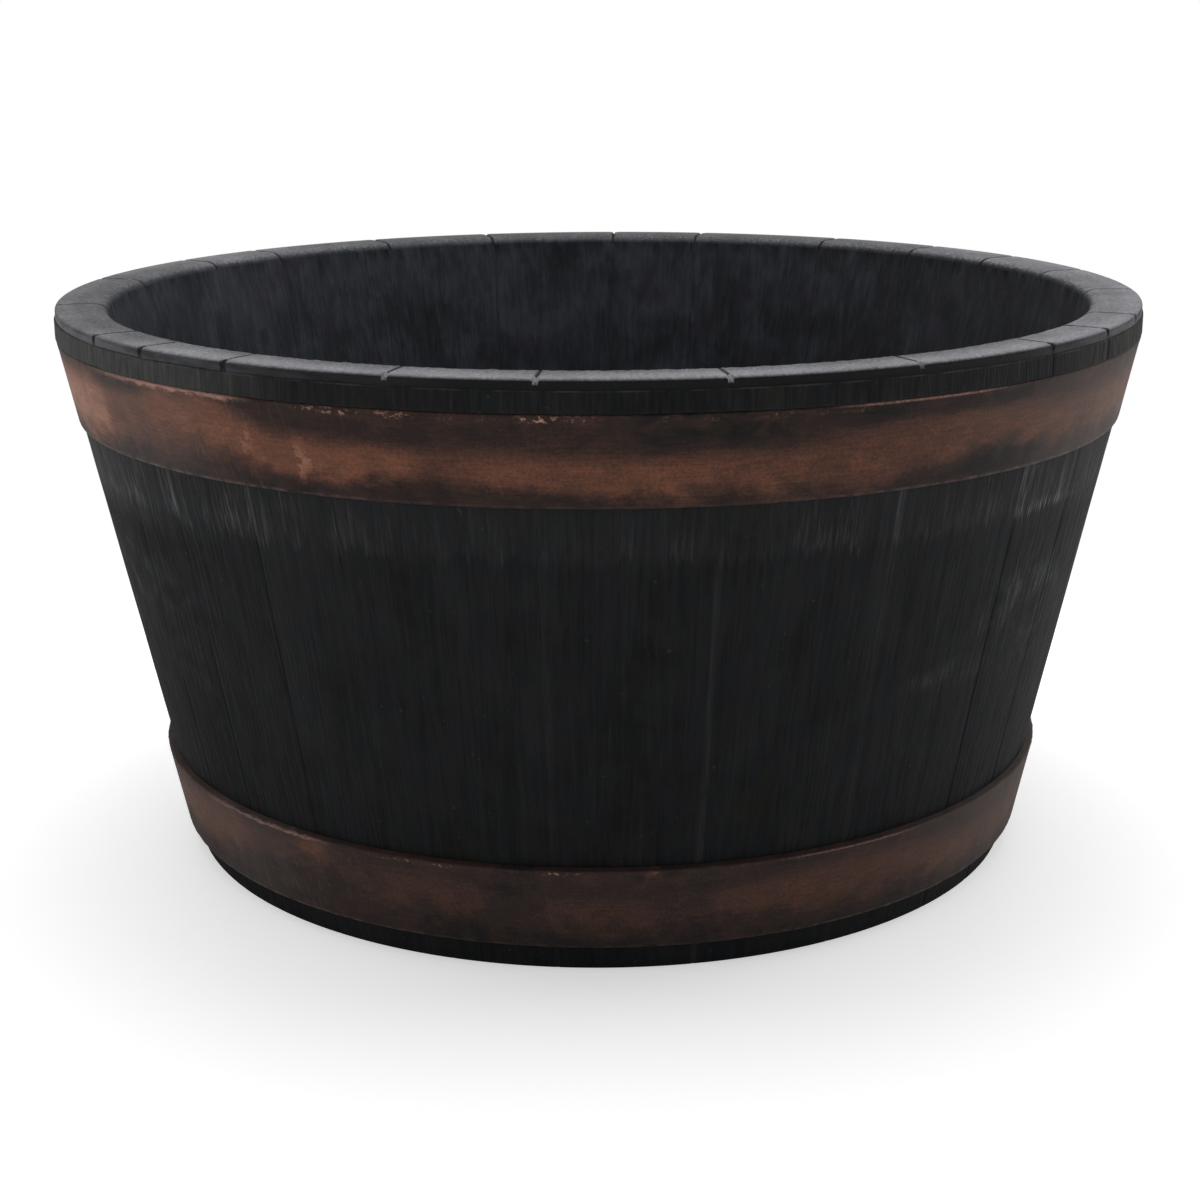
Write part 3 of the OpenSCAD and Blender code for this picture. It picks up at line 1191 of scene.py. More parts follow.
@dataclass(frozen=True)
class LinerPlastic:
    """Charcoal plastic: a mottled inner wall, a sandy rim and a smooth black band round its edge.

    Attributes:
        inner_dark: Colour of the inner wall's hollows.
        inner_light: Colour of its ridges.
        inner_tints: Tints of its blots, with their shares.
        rim_dark: Colour between the rim's grains.
        rim_light: Colour of the grains.
        speck: Colour of the brightest grains.
        crack: Colour of the joints, and of the painted shade in the notches away from the front.
        tip: Colour of the painted highlight on the notches' floors at the front.
        band: Colour of the band.
        band_sheen: Colour of the painted sheen on the band at the sides.
        specular: Specular level.
    """

    inner_dark: Colour = srgb(31, 32, 36)
    inner_light: Colour = srgb(66, 69, 78)
    inner_tints: tuple[tuple[Colour, float], ...] = ((srgb(32, 44, 46), 0.5),
                                                     (srgb(48, 44, 54), 0.45))
    rim_dark: Colour = srgb(64, 64, 66)
    rim_light: Colour = srgb(176, 176, 182)
    speck: Colour = srgb(214, 214, 220)
    crack: Colour = srgb(20, 20, 21)
    tip: Colour = srgb(158, 158, 162)
    band: Colour = srgb(15, 16, 16)
    band_sheen: Colour = srgb(92, 94, 98)
    specular: float = 0.22

    def make(self) -> bpy.types.Material:
        """Builds the material.

        Returns:
            The material.
        """
        r = TubRecipe("liner_plastic")
        radius = r.maths("SQRT", r.x * r.x + r.y * r.y) * 1000
        sand = r.noise(r.spot, 560, 3.0, 0.7)
        grit = r.noise(r.spot, 1500, 2.0, 0.6)
        ridge = r.streaks(2.4, 24, 31.0, 2.0, 0.8)
        on_top = (r.height + (sand - 0.5) * 3.0).ease(248.9, 250.9)
        outside = radius.ease(243.6, 244.3)
        colour = r.mix(on_top, self.wall_colour(r, ridge), self.rim_colour(r, radius, sand, grit))
        colour = r.mix(outside * (1 - r.height.ease(250.3, 251.3)), colour, self.band_colour(r))
        notch = radius.ease(239.4, 240.2) * r.height.ease(251.4, 251.0)
        front = r.bearing.between(-28, 38, 4)
        # Painted shade: the notches away from the front are darkened to the joints' colour
        cut = notch * r.joint.ease(0.3, 0.5) * (1 - front)
        colour = r.mix(cut * 0.9, colour, self.crack)
        # Painted highlight: the notches' floors at the front are lightened, where they catch light
        # from above
        tip = notch * r.joint.ease(0.52, 0.75) * r.height.ease(248.7, 249.7) * front
        colour = r.mix(tip * (0.8 - r.bearing.near(29, 4) * 0.5), colour, self.tip)
        wall = ridge.ease(0.3, 0.7) * (1 - on_top) * (1 - outside)
        normal = r.bumps((wall, 0.28 * MM), (sand * on_top, 0.35 * MM), (grit, 0.08 * MM))
        rough = 0.62 + (sand - 0.5) * 0.25 + on_top * 0.12 - outside * 0.12
        return r.surface(colour, rough, normal, self.specular)

    def wall_colour(self, r: TubRecipe, ridge: Signal) -> Signal:
        """Colours the mottled inner wall, with painted light towards its top and painted shade on
        its right.

        Args:
            r: The recipe.
            ridge: The wall's grain.

        Returns:
            The colour.
        """
        broad = r.streaks(9, 26, 37.0, 3.0, 1.0)
        cloud = r.noise(r.spot, 36, 4.0, 0.65)
        tone = (ridge - 0.5) * 0.7 + (broad - 0.5) * 0.8 + (cloud - 0.5) * 1.5 + 0.43
        # Painted light towards the top and painted shade on the right of the inner wall
        tone = tone + r.height.ease(170, 250) * 0.12 - r.x.ease(0.03, 0.2) * 0.36
        tone = tone - r.joint.ease(0.7, 1.0) * 0.12
        colour = r.mix(tone.ease(0.0, 1.0), self.inner_dark, self.inner_light)
        return r.blots(colour, 12, 22, self.inner_tints)

    def rim_colour(self, r: TubRecipe, radius: Signal, sand: Signal, grit: Signal) -> Signal:
        """Colours the sandy top of the rim, with painted shade at the left and at the back.

        Args:
            r: The recipe.
            radius: Distance from the tub's axis in millimetres.
            sand: The sand's grain.
            grit: The finer grain.

        Returns:
            The colour.
        """
        cloud = r.noise(r.spot, 45, 3.0, 0.6)
        # Lighter towards the outer edge and over the inner part at the sides; painted shade darkens
        # the rim at the left and at the back
        outer = radius.ease(224, 241) * 0.27
        left = r.bearing.ease(-38, -62) * r.bearing.ease(-130, -100) * 0.16
        inner = abs(r.bearing).ease(34, 58) * radius.ease(236, 226) * 0.16
        tone = (sand - 0.5) * 0.6 + (grit - 0.5) * 0.3 + (cloud - 0.5) * 0.3 + 0.2
        tone = tone + outer - left + inner - r.y.ease(0.1, 0.22) * 0.2
        colour = r.mix(tone.ease(0, 1), self.rim_dark, self.rim_light)
        bright = r.noise(r.spot, 900, 1.0, 0.5).ease(0.64, 0.74)
        colour = r.mix(bright * 0.24, colour, self.speck)
        return r.mix(r.joint.ease(0.5, 0.85) * radius.ease(240.4, 239.4) * 0.85, colour, self.crack)

    def band_colour(self, r: TubRecipe) -> Signal:
        """Colours the smooth band round the rim's edge, with painted sheen at the sides, broken
        into smears.

        Args:
            r: The recipe.

        Returns:
            The colour.
        """
        # Painted sheen: this mask lightens the band at the left and the right, broken into smears
        worn = r.bearing.ease(-8, -60) + r.bearing.ease(38, 64) * 0.9
        smear = r.cells(45, 260, 6.0, 3.0, 0.6).ease(0.2, 0.65)
        return r.mix(worn * smear, self.band, self.band_sheen)


@dataclass(frozen=True)
class Brushmark:
    """A patch of a strap where the copper lies thicker or thinner.

    Attributes:
        left: Bearing of its left end in degrees.
        right: Bearing of its right end.
        low: Height of its lower side in millimetres.
        high: Height of its upper side.
        weight: How much thicker the copper is there.
        fade: Softness of its ends in degrees.
        blur: Softness of its sides in millimetres.
    """

    left: float
    right: float
    low: float
    high: float
    weight: float
    fade: float = 2.5
    blur: float = 3.0


@dataclass(frozen=True)
class CopperPaint:
    """Copper paint sprayed and brushed over black plastic.

    Attributes:
        name: The material's name.
        top: Height of the strap's upper edge in millimetres.
        bottom: Height of its lower edge.
        middle: Height of the sprayed band's middle by bearing.
        half: Half the band's width by bearing.
        load: Thickness of the copper in the band by bearing.
        thin: Thickness of the copper outside the band.
        marks: Patches that are thicker or thinner.
        line_low: How far below the upper edge the bright line runs.
        line_half: Half its width.
        black: Colour of the bare plastic.
        umber: Colour of the thinnest coat.
        copper: Colour of the usual coat.
        bright: Colour of a thick coat.
        pale: Colour of the thickest coat.
        edge: Colour of the bright line along the upper edge.
        rubbed: Colour of the scratches and of the broken line along the lower edge.
        tints: Tints of the blots, with their shares.
        veil: Greyish haze over the sides.
        haze: Strength of that haze by bearing.
        specular: Specular level.
    """

    name: str
    top: float
    bottom: float
    middle: Curve
    half: Curve
    load: Curve
    thin: float
    marks: tuple[Brushmark, ...]
    line_low: float
    line_half: float
    black: Colour = srgb(24, 24, 23)
    umber: Colour = srgb(50, 37, 35)
    copper: Colour = srgb(87, 58, 48)
    bright: Colour = srgb(130, 84, 64)
    pale: Colour = srgb(180, 128, 104)
    edge: Colour = srgb(200, 152, 138)
    rubbed: Colour = srgb(136, 122, 114)
    tints: tuple[tuple[Colour, float], ...] = ((srgb(88, 60, 54), 0.25), (srgb(80, 60, 42), 0.2))
    veil: Colour = srgb(112, 101, 96)
    haze: Curve = ((-180, 0.1), (-64, 0.02), (-56, 0.06), (-50, 0.2), (-40, 0.14), (-28, 0.0),
                   (22, 0.0), (37, 0.07), (50, 0.24), (62, 0.34), (80, 0.3), (180, 0.1))
    specular: float = 0.2

    def make(self) -> bpy.types.Material:
        """Builds the material.

        Returns:
            The material.
        """
        r = TubRecipe(self.name)
        fog = r.cells(32, 42, 3.0, 3.0, 0.6, 0.6)
        swirl = r.cells(110, 170, 5.0, 3.0, 0.6, 0.6)
        brush = r.cells(70, 1000, 8.0, 3.0, 0.6, 0.3)
        speckle = r.noise(r.spot, 820, 3.0, 0.7)
        coat = self.coat(r, fog, swirl) + brush.swing(0.04) + speckle.swing(0.07)
        colour: Input = self.black
        for low, high, layer in ((-0.1, 0.25, self.umber), (0.2, 0.65, self.copper),
                                 (0.55, 1.1, self.bright), (1.0, 1.7, self.pale)):
            colour = r.mix(coat.ease(low, high), colour, layer)
        colour = r.blots(colour, 18, 11, self.tints)
        colour = r.mix(r.bearing.follow(self.haze), colour, self.veil)
        colour = r.mix(1.0, colour, 1 + speckle.swing(0.15) + brush.swing(0.07), "MULTIPLY")
        colour = r.mix(self.scratches(r), colour, self.rubbed)
        colour = r.mix(self.top_line(r, speckle), colour, self.edge)
        normal = r.bumps((brush, 0.14 * MM), (speckle, 0.18 * MM))
        thick = coat.ease(0.3, 1.2)
        rough = 0.62 + speckle.swing(0.1) - thick * 0.06
        return r.surface(colour, rough, normal, self.specular, thick * 0.12)

    def coat(self, r: TubRecipe, fog: Signal, swirl: Signal) -> Signal:
        """Sprays the band and lays the brushmarks.

        Args:
            r: The recipe.
            fog: The broad noise that bends them.
            swirl: The finer one.

        Returns:
            How thick the copper is.
        """
        bearing = r.bearing + swirl.swing(0.6)
        height = r.height + fog.swing(1.8) + swirl.swing(0.8)
        off = abs(height - r.bearing.follow(self.middle)) / r.bearing.follow(self.half)
        coat = off.ease(1.5, 0.3) * r.bearing.follow(self.load) + self.thin
        for mark in self.marks:
            across = bearing.between(mark.left, mark.right, mark.fade)
            coat = coat + across * height.between(mark.low, mark.high, mark.blur) * mark.weight
        return coat + fog.swing(0.09) + swirl.swing(0.06)

    def scratches(self, r: TubRecipe) -> Signal:
        """Places fine greyish upright scratches and a broken greyish line along the lower edge,
        stronger at the sides.

        Args:
            r: The recipe.

        Returns:
            How rubbed the surface is.
        """
        slanted = r.vector(r.u * 900 + r.v * 160, r.v * 75 + r.u * 20, 71.0)
        fine = r.noise(slanted, 1.0, 2.0, 0.5, 1.2).ease(0.6, 0.78)
        where = r.bearing.ease(-22, -42) * 0.42 + r.bearing.ease(40, 62) * 0.2 + 0.06
        broken = r.cells(110, 0, 77.0, 3.0, 0.7).ease(0.4, 0.62)
        sides = abs(r.bearing).ease(10, 44) * 0.35 + 0.12
        return fine * where + r.height.near(self.bottom + 0.6, 0.9) * sides * broken

    def top_line(self, r: TubRecipe, speckle: Signal) -> Signal:
        """Places the bright line of paint along the upper edge.

        Args:
            r: The recipe.
            speckle: The paint's grain.

        Returns:
            How much of it covers the surface.
        """
        broken = r.noise(r.vector(r.u * 150, r.height * 0.5, 5.0), 1.0, 3.0, 0.7)
        crumbs = r.noise(r.vector(r.u * 460, r.height * 0.6, 9.0), 1.0, 2.0, 0.6).ease(0.5, 0.66)
        clumps = r.cells(34, 0, 15.0).ease(0.46, 0.64)
        clumps = clumps + r.bearing.near(-17.9, 2.4) * 1.3 + r.bearing.near(-5.6, 1.8)
        low = self.top - self.line_low
        deep = r.height.near(low - self.line_half, self.line_half * 2.4)
        wide = (r.height + broken.swing(0.7)).near(low, self.line_half * 2)
        thin = r.height.near(low + self.line_half * 0.5, self.line_half)
        left = r.bearing.between(-55, -34, 3) * (r.bearing.ease(-56, -44) * 0.6 + 0.4)
        left = left * (broken.ease(0.34, 0.6) * 0.5 + 0.4)
        right = r.bearing.between(22, 38, 3) * (speckle.ease(0.35, 0.6) * 0.4 + 0.25)
        where = r.bearing.between(-31, 24, 2)
        for start, end in ((-150, -92), (84, 128), (146, 170)):
            where = where + r.bearing.between(start, end, 4)
        return wide * left + deep * (where * crumbs * clumps * 0.75) + thin * right


@dataclass(frozen=True)
class PlugRubber:
    """Matt black rubber with a fine moulded grain.

    Attributes:
        dark: Colour between the grains.
        light: Colour of the grains.
    """

    dark: Colour = srgb(24, 24, 25)
    light: Colour = srgb(44, 44, 46)

    def make(self) -> bpy.types.Material:
        """Builds the material.

        Returns:
            The material.
        """
        r = Recipe(bpy.data.materials.new("plug_rubber"))
        spot = r.place()
        grain = r.noise(spot, 900, 3.0, 0.6)
        cloud = r.noise(spot, 60, 2.0, 0.5)
        colour = r.mix((grain * 0.5 + cloud * 0.5).ease(0.3, 0.7), self.dark, self.light)
        return r.surface(colour, 0.6 + (grain - 0.5) * 0.2, r.bumps((grain, 0.08 * MM)), 0.3)


@dataclass
class Staves:
    """The outer shell: staved wall, foot, grained shoulder and the floor with its bosses and ribs.

    Attributes:
        sizes: The tub's sizes.
        layout: Where the staves meet.
        edge: Rounding of the shoulder's edges.
        relief: Height of the wall's waves.
        crown: Height of a stave's bow.
        wall_groove: Depth of a joint down the wall.
        shoulder_groove: Depth of a joint down the shoulder.
        flat_foot: Height over which the waves and the bow fade out towards the ground.
        boss_t: Wall thickness of a drain boss.
        ribs: Number of ribs.
        rib_t: Thickness of a rib.
        rib_round: Rounding of a rib's edges.
        rib_margin: Space at each end of a rib.
        sunk: Depth that the bosses and ribs are sunk into the floor.
        spare: How far the bores reach past the bosses.
    """

    sizes: TubSizes
    layout: StaveLayout
    edge: float = 0.5 * MM
    relief: float = 0.35 * MM
    crown: float = 0.3 * MM
    wall_groove: float = 0.6 * MM
    shoulder_groove: float = 0.25 * MM
    flat_foot: float = 3 * MM
    boss_t: float = 5 * MM
    ribs: int = 8
    rib_t: float = 3 * MM
    rib_round: float = 0.5 * MM
    rib_margin: float = 20 * MM
    sunk: float = 1 * MM
    spare: float = 2 * MM

    def outline(self) -> Outline:
        """Draws the cut through the wall, from the floor's top out and round to its underside.

        Returns:
            The outline.
        """
        s, e = self.sizes, self.edge
        o = Outline()
        o.start(s.wall_r(s.shell_floor_top) - s.wall_t, s.shell_floor_top)
        o.line(s.wall_r(s.shoulder_bottom) - s.wall_t, s.shoulder_bottom, Zone.HIDDEN, 60 * MM)
        o.line(s.rim_r - s.wall_t, s.shoulder_bottom, Zone.HIDDEN)
        o.line(s.rim_r - s.wall_t, s.rim_bottom, Zone.HIDDEN)
        o.line(s.rim_r - e, s.rim_bottom, Zone.HIDDEN)
        o.arc(s.rim_r - e, s.rim_bottom - e, e, 90, 0, Zone.SHOULDER, 3)
        o.line(s.rim_r, s.shoulder_bottom + e, Zone.SHOULDER, 1.4 * MM)
        o.arc(s.rim_r - e, s.shoulder_bottom + e, e, 0, -90, Zone.SHOULDER, 3)
        o.line(s.wall_r(s.shoulder_bottom), s.shoulder_bottom, Zone.HIDDEN)
        o.line(s.wall_r(2 * e), 2 * e, Zone.WALL, 6 * MM)
        o.arc(s.wall_r(0) - 2 * e, 2 * e, 2 * e, 0, -90, Zone.WALL, 4)
        o.line(s.wall_r(0) - s.ring_w, 0, Zone.HIDDEN, 9 * MM)
        o.line(s.wall_r(0) - s.ring_w, s.shell_floor, Zone.HIDDEN)
        return o.finish()

    def build(self) -> list[bpy.types.Object]:
        """Turns the shell and makes its bosses and ribs.

        Returns:
            The pieces.
        """
        shell = Turning("stave_shell", self.outline(), self.layout)
        shell.turn()
        above_foot = np.clip(shell.drawn()[:, 1] / self.flat_foot, 0, 1)
        mask = shell.zone_mask(Zone.WALL, Zone.SHOULDER) * above_foot
        shell.push("relief", mask, self.relief, clouds("stave_relief", 0.8))
        shell.crown_staves(mask, self.crown)
        depths = {Zone.WALL: self.wall_groove, Zone.SHOULDER: self.shoulder_groove}
        shell.carve_joints(depths, self.sizes.groove_half)
        self.sizes.drill_drains(shell.obj, 0, self.sizes.liner_floor_bottom)
        pieces = [shell.obj, self.bosses()]
        material = StavePlastic().make()
        for piece in pieces:
            dress(piece, material)
            settle(piece, "tub")
            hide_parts("outer_shell")
        return pieces

    def bosses(self) -> bpy.types.Object:
        """Makes the sleeves round the drain holes and the ribs that carry the liner's floor.

        Returns:
            The joined piece.
        """
        s = self.sizes
        low, high = s.shell_floor_top - self.sunk, s.liner_floor_bottom
        made = s.at_drains(s.drain_r + self.boss_t, low, high)
        for sleeve, bore in zip(made, s.at_drains(s.drain_r, low - self.spare, high + self.spare)):
            cut_away(sleeve, bore)
        run = s.wall_r(s.shell_floor_top) - s.wall_t - 2 * self.rib_margin
        middle = self.rib_margin + run / 2
        for n in range(self.ribs):
            a = TURN * (n + 0.5) / self.ribs
            place = (middle * math.cos(a), middle * math.sin(a), (low + high) / 2)
            deselect()
            bpy.ops.mesh.primitive_cube_add(size=1, location=place, rotation=(0, 0, a),
                                            scale=(run, self.rib_t, high - low))
            rib = bpy.context.object
            bpy.ops.object.transform_apply(location=False, rotation=False, scale=True)
            apply_modifier(rib, "BEVEL", width=self.rib_round, segments=2)
            made.append(rib)
        return join(made, "shell_bosses")


@dataclass
class Liner:
    """The liner: flat rim with its notches, inner wall and floor.

    Attributes:
        sizes: The tub's sizes.
        layout: Where the staves meet.
        outer_round: Rounding of the rim's outer edge.
        inner_round: Width of the rounding of its inner edge.
        inner_drop: Height of that rounding.
        fillet: Rounding between the floor and the wall.
        fillet_in: Share of the rounding that its centre stands in from the wall's foot.
        relief: Height of the wall's waves.
        crumbs: Depth of the crumbling of the rim's inner edge.
        groove: Depth of a joint across the rim.
        inner_groove: Depth of a joint down the inner wall.
        notch_flat: Share of a notch's width that is flat.
        notch_run: How far in from the rim's edge a notch starts.
        notch_drop: How far down the edge it reaches.
        notch_half: Half its width.
        notch_full: Depth from which it has its whole width.
        notch_least: Share of its width that it keeps where it is shallow.
        top_slack: How far below the rim's top a point still counts as on it.
        corner_slack: How far the rounded corner stops short of the upright edge.
        hairline: Least half width of a cut, which keeps its sums finite.
        deepest: Greatest depth of any cut.
        spare: How far the drills reach past the floor.
    """

    sizes: TubSizes
    layout: StaveLayout
    outer_round: float = 1.2 * MM
    inner_round: float = 7 * MM
    inner_drop: float = 4 * MM
    fillet: float = 5 * MM
    fillet_in: float = 0.85
    relief: float = 0.5 * MM
    crumbs: float = 0.6 * MM
    groove: float = 0.8 * MM
    inner_groove: float = 0.2 * MM
    notch_flat: float = 0.35
    notch_run: float = 4.5 * MM
    notch_drop: float = 3.2 * MM
    notch_half: float = 1.9 * MM
    notch_full: float = 3 * MM
    notch_least: float = 0.15
    top_slack: float = 0.1 * MM
    corner_slack: float = 0.05 * MM
    hairline: float = 0.01 * MM
    deepest: float = 3.3 * MM
    spare: float = 3 * MM

    @property
    def edge_r(self) -> float:
        """Radius of the rim's edge."""
        return self.sizes.rim_r - self.sizes.rim_inset

    def outline(self) -> Outline:
        """Draws the cut through the liner, from the floor's top up, over the rim and down its back.

        Returns:
            The outline.
        """
        s, edge_r, inner_r = self.sizes, self.edge_r, self.sizes.rim_r - self.sizes.rim_w
        foot = s.liner_r(s.liner_floor_top)
        lip_r = s.rim_r - s.wall_t - s.lip_gap
        lip_low = s.shoulder_bottom + s.lip_gap
        o = Outline()
        o.start(foot - self.fillet, s.liner_floor_top)
        o.arc(foot - self.fillet * self.fillet_in, s.liner_floor_top + self.fillet, self.fillet,
              -90, -s.taper, Zone.HIDDEN, 5)
        o.line(s.liner_r(s.rim_bottom), s.rim_bottom, Zone.INNER_WALL, 6 * MM)
        o.line(inner_r, s.height - self.inner_drop, Zone.INNER_WALL, 0.8 * MM)
        o.arc(inner_r + self.inner_round, s.height - self.inner_drop, self.inner_round, 180, 90,
              Zone.RIM_TOP, 9, self.inner_drop)
        o.line(edge_r - self.notch_run - 1 * MM, s.height, Zone.RIM_TOP, 2 * MM)
        o.line(edge_r - self.outer_round, s.height, Zone.RIM_TOP, 0.7 * MM)
        o.arc(edge_r - self.outer_round, s.height - self.outer_round, self.outer_round, 90, 0,
              Zone.RIM_EDGE, 4)
        o.line(edge_r, s.rim_bottom, Zone.RIM_EDGE, 0.6 * MM)
        o.line(lip_r, s.rim_bottom, Zone.HIDDEN)
        o.line(lip_r, lip_low, Zone.HIDDEN, 10 * MM)
        o.line(lip_r - s.lip_t, lip_low, Zone.HIDDEN, 10 * MM)
        o.line(lip_r - s.lip_t, s.rim_bottom, Zone.HIDDEN, 10 * MM)
        o.line(s.liner_r(s.rim_bottom) + s.wall_t, s.rim_bottom, Zone.HIDDEN, 20 * MM)
        o.line(s.liner_r(s.liner_floor_bottom) + s.wall_t, s.liner_floor_bottom, Zone.HIDDEN,
               80 * MM)
        return o.finish()

    def notch_depth(self, r: np.ndarray, z: np.ndarray) -> np.ndarray:
        """Works out how far a point of the rim moves in, at a joint, to lie on the notch's line.

        Args:
            r: Radii of the points.
            z: Their heights.

        Returns:
            The distances along the surface's normal.
        """
        height = self.sizes.height
        fall = (self.notch_drop - self.groove) / self.notch_run
        floor = height - self.notch_drop + (self.edge_r - r) * fall
        above = np.clip(z - floor, 0, None)
        on_top = z > height - self.top_slack
        corner = (~on_top) & (z > height - self.outer_round + self.corner_slack)
        # The top moves down, the upright edge in, and the corner between at about 45 degrees
        slant = 0.72 * (1 + fall)
        across = np.where(on_top, 1.0, np.where(corner, 1 / slant, 1 / fall))
        return np.minimum(above * across, self.deepest)

    def joint_depth(self, liner: Turning) -> np.ndarray:
        """Works out the notches, the grooves across the rim and those down the inner wall.

        Args:
            liner: The turned liner.

        Returns:
            How far each vertex moves in.
        """
        s = self.sizes
        r, z = liner.drawn().T
        _, gap, _ = self.layout.nearest(liner.bearing)
        notch = self.notch_depth(r, z)
        height_over = np.clip((z - (s.height - self.notch_drop)) / self.notch_drop, 0, 1)
        near_edge = r > self.edge_r - self.notch_run
        top_half = self.notch_half * np.clip(notch / self.notch_full, self.notch_least, 1)
        half = np.where(liner.zone_mask(Zone.RIM_EDGE) > 0, self.notch_half * height_over,
                        np.where(near_edge, top_half, 0.0))
        half = np.maximum(half, self.hairline)
        cut = notch * np.clip((1 - gap / half) / (1 - self.notch_flat), 0, 1)
        vee = np.clip(1 - gap / s.groove_half, 0, 1)
        groove = self.groove * vee * liner.zone_mask(Zone.RIM_TOP)
        groove *= r < self.edge_r - self.notch_run
        depth = np.maximum(cut, groove) * liner.zone_mask(Zone.RIM_TOP, Zone.RIM_EDGE)
        inner = liner.zone_mask(Zone.INNER_WALL) * vee * self.inner_groove
        return np.maximum(depth, inner)

    def build(self) -> list[bpy.types.Object]:
        """Turns the liner and carves its rim.

        Returns:
            The piece.
        """
        s = self.sizes
        liner = Turning("liner_and_rim", self.outline(), self.layout)
        liner.turn()
        liner.push("relief", liner.zone_mask(Zone.INNER_WALL), self.relief,
                   clouds("liner_relief", 0.8))
        rounding = liner.drawn()[:, 0] < s.rim_r - s.rim_w + self.inner_round * 1.05
        liner.push("crumbs", liner.zone_mask(Zone.RIM_TOP) * rounding, self.crumbs,
                   clouds("rim_crumbs", 0.35))
        liner.push("joints", self.joint_depth(liner) / self.deepest, -self.deepest)
        low, high = s.liner_floor_bottom - self.spare, s.liner_floor_top + self.spare
        s.drill_drains(liner.obj, low, high)
        dress(liner.obj, LinerPlastic().make())
        settle(liner.obj, "tub")
        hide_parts("inner_liner")
        return [liner.obj]


class StrapPlace(Enum):
    """The two straps."""

    UPPER = "upper_hoop"
    LOWER = "lower_hoop"


@dataclass
class Hoop:
    """A strap bent round the wall, with worn edges and copper paint.

    Attributes:
        sizes: The tub's sizes.
        layout: Where the staves meet.
        place: Which strap it is.
        top: Height of the top of its back.
        thickness: Its thickness.
        paint: Its paint.
        slot: Name of a material slot; not used.
        width: Its width along the wall.
        edge: Rounding of its edges.
        edge_most: Share of the thickness that the rounding may take.
        gap: Gap behind it.
        ripple: Depth of its waves.
        ragged: Depth of the crumbling of its upper edge.
        ragged_h: Height of the crumbling edge.
    """

    sizes: TubSizes
    layout: StaveLayout
    place: StrapPlace
    top: float
    thickness: float
    paint: CopperPaint
    slot: str
    width: float = 37 * MM
    edge: float = 0.8 * MM
    edge_most: float = 0.55
    gap: float = 0.25 * MM
    ripple: float = 0.35 * MM
    ragged: float = 0.7 * MM
    ragged_h: float = 2.5 * MM

    def outline(self) -> Outline:
        """Draws the cut through the strap, leaning with the wall.

        Returns:
            The outline.
        """
        t, w, a = self.thickness, self.width, math.radians(self.sizes.taper)
        e = min(self.edge, t * self.edge_most)
        o = Outline(closed=True)
        o.start(0, -w)
        o.line(t - e, -w, Zone.HIDDEN, 2 * MM)
        o.arc(t - e, -w + e, e, -90, 0, Zone.STRAP, 4)
        o.line(t, -e, Zone.STRAP, 1.5 * MM)
        o.arc(t - e, -e, e, 0, 90, Zone.STRAP, 4)
        o.line(0, 0, Zone.HIDDEN, 1 * MM)
        o.line(0, -w, Zone.HIDDEN, 40 * MM)
        back = self.sizes.wall_r(self.top) + self.gap
        o.points = [(back + x * math.cos(a) + y * math.sin(a),
                     self.top - x * math.sin(a) + y * math.cos(a)) for x, y in o.points]
        return o.finish()

    def build(self) -> list[bpy.types.Object]:
        """Turns the strap and roughens it.

        Returns:
            The piece.
        """
        name = self.place.value
        strap = Turning(f"{name}_strap", self.outline(), self.layout)
        strap.turn()
        mask = strap.zone_mask(Zone.STRAP)
        strap.push("ripple", mask, self.ripple, clouds(f"{name}_ripple", 1.6))
        upper = strap.drawn()[:, 1] > self.top - self.ragged_h
        strap.push("ragged", mask * upper, self.ragged, clouds(f"{name}_ragged", 0.5))
        dress(strap.obj, self.paint.make())
        settle(strap.obj, "tub")
        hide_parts(name)
        return [strap.obj]


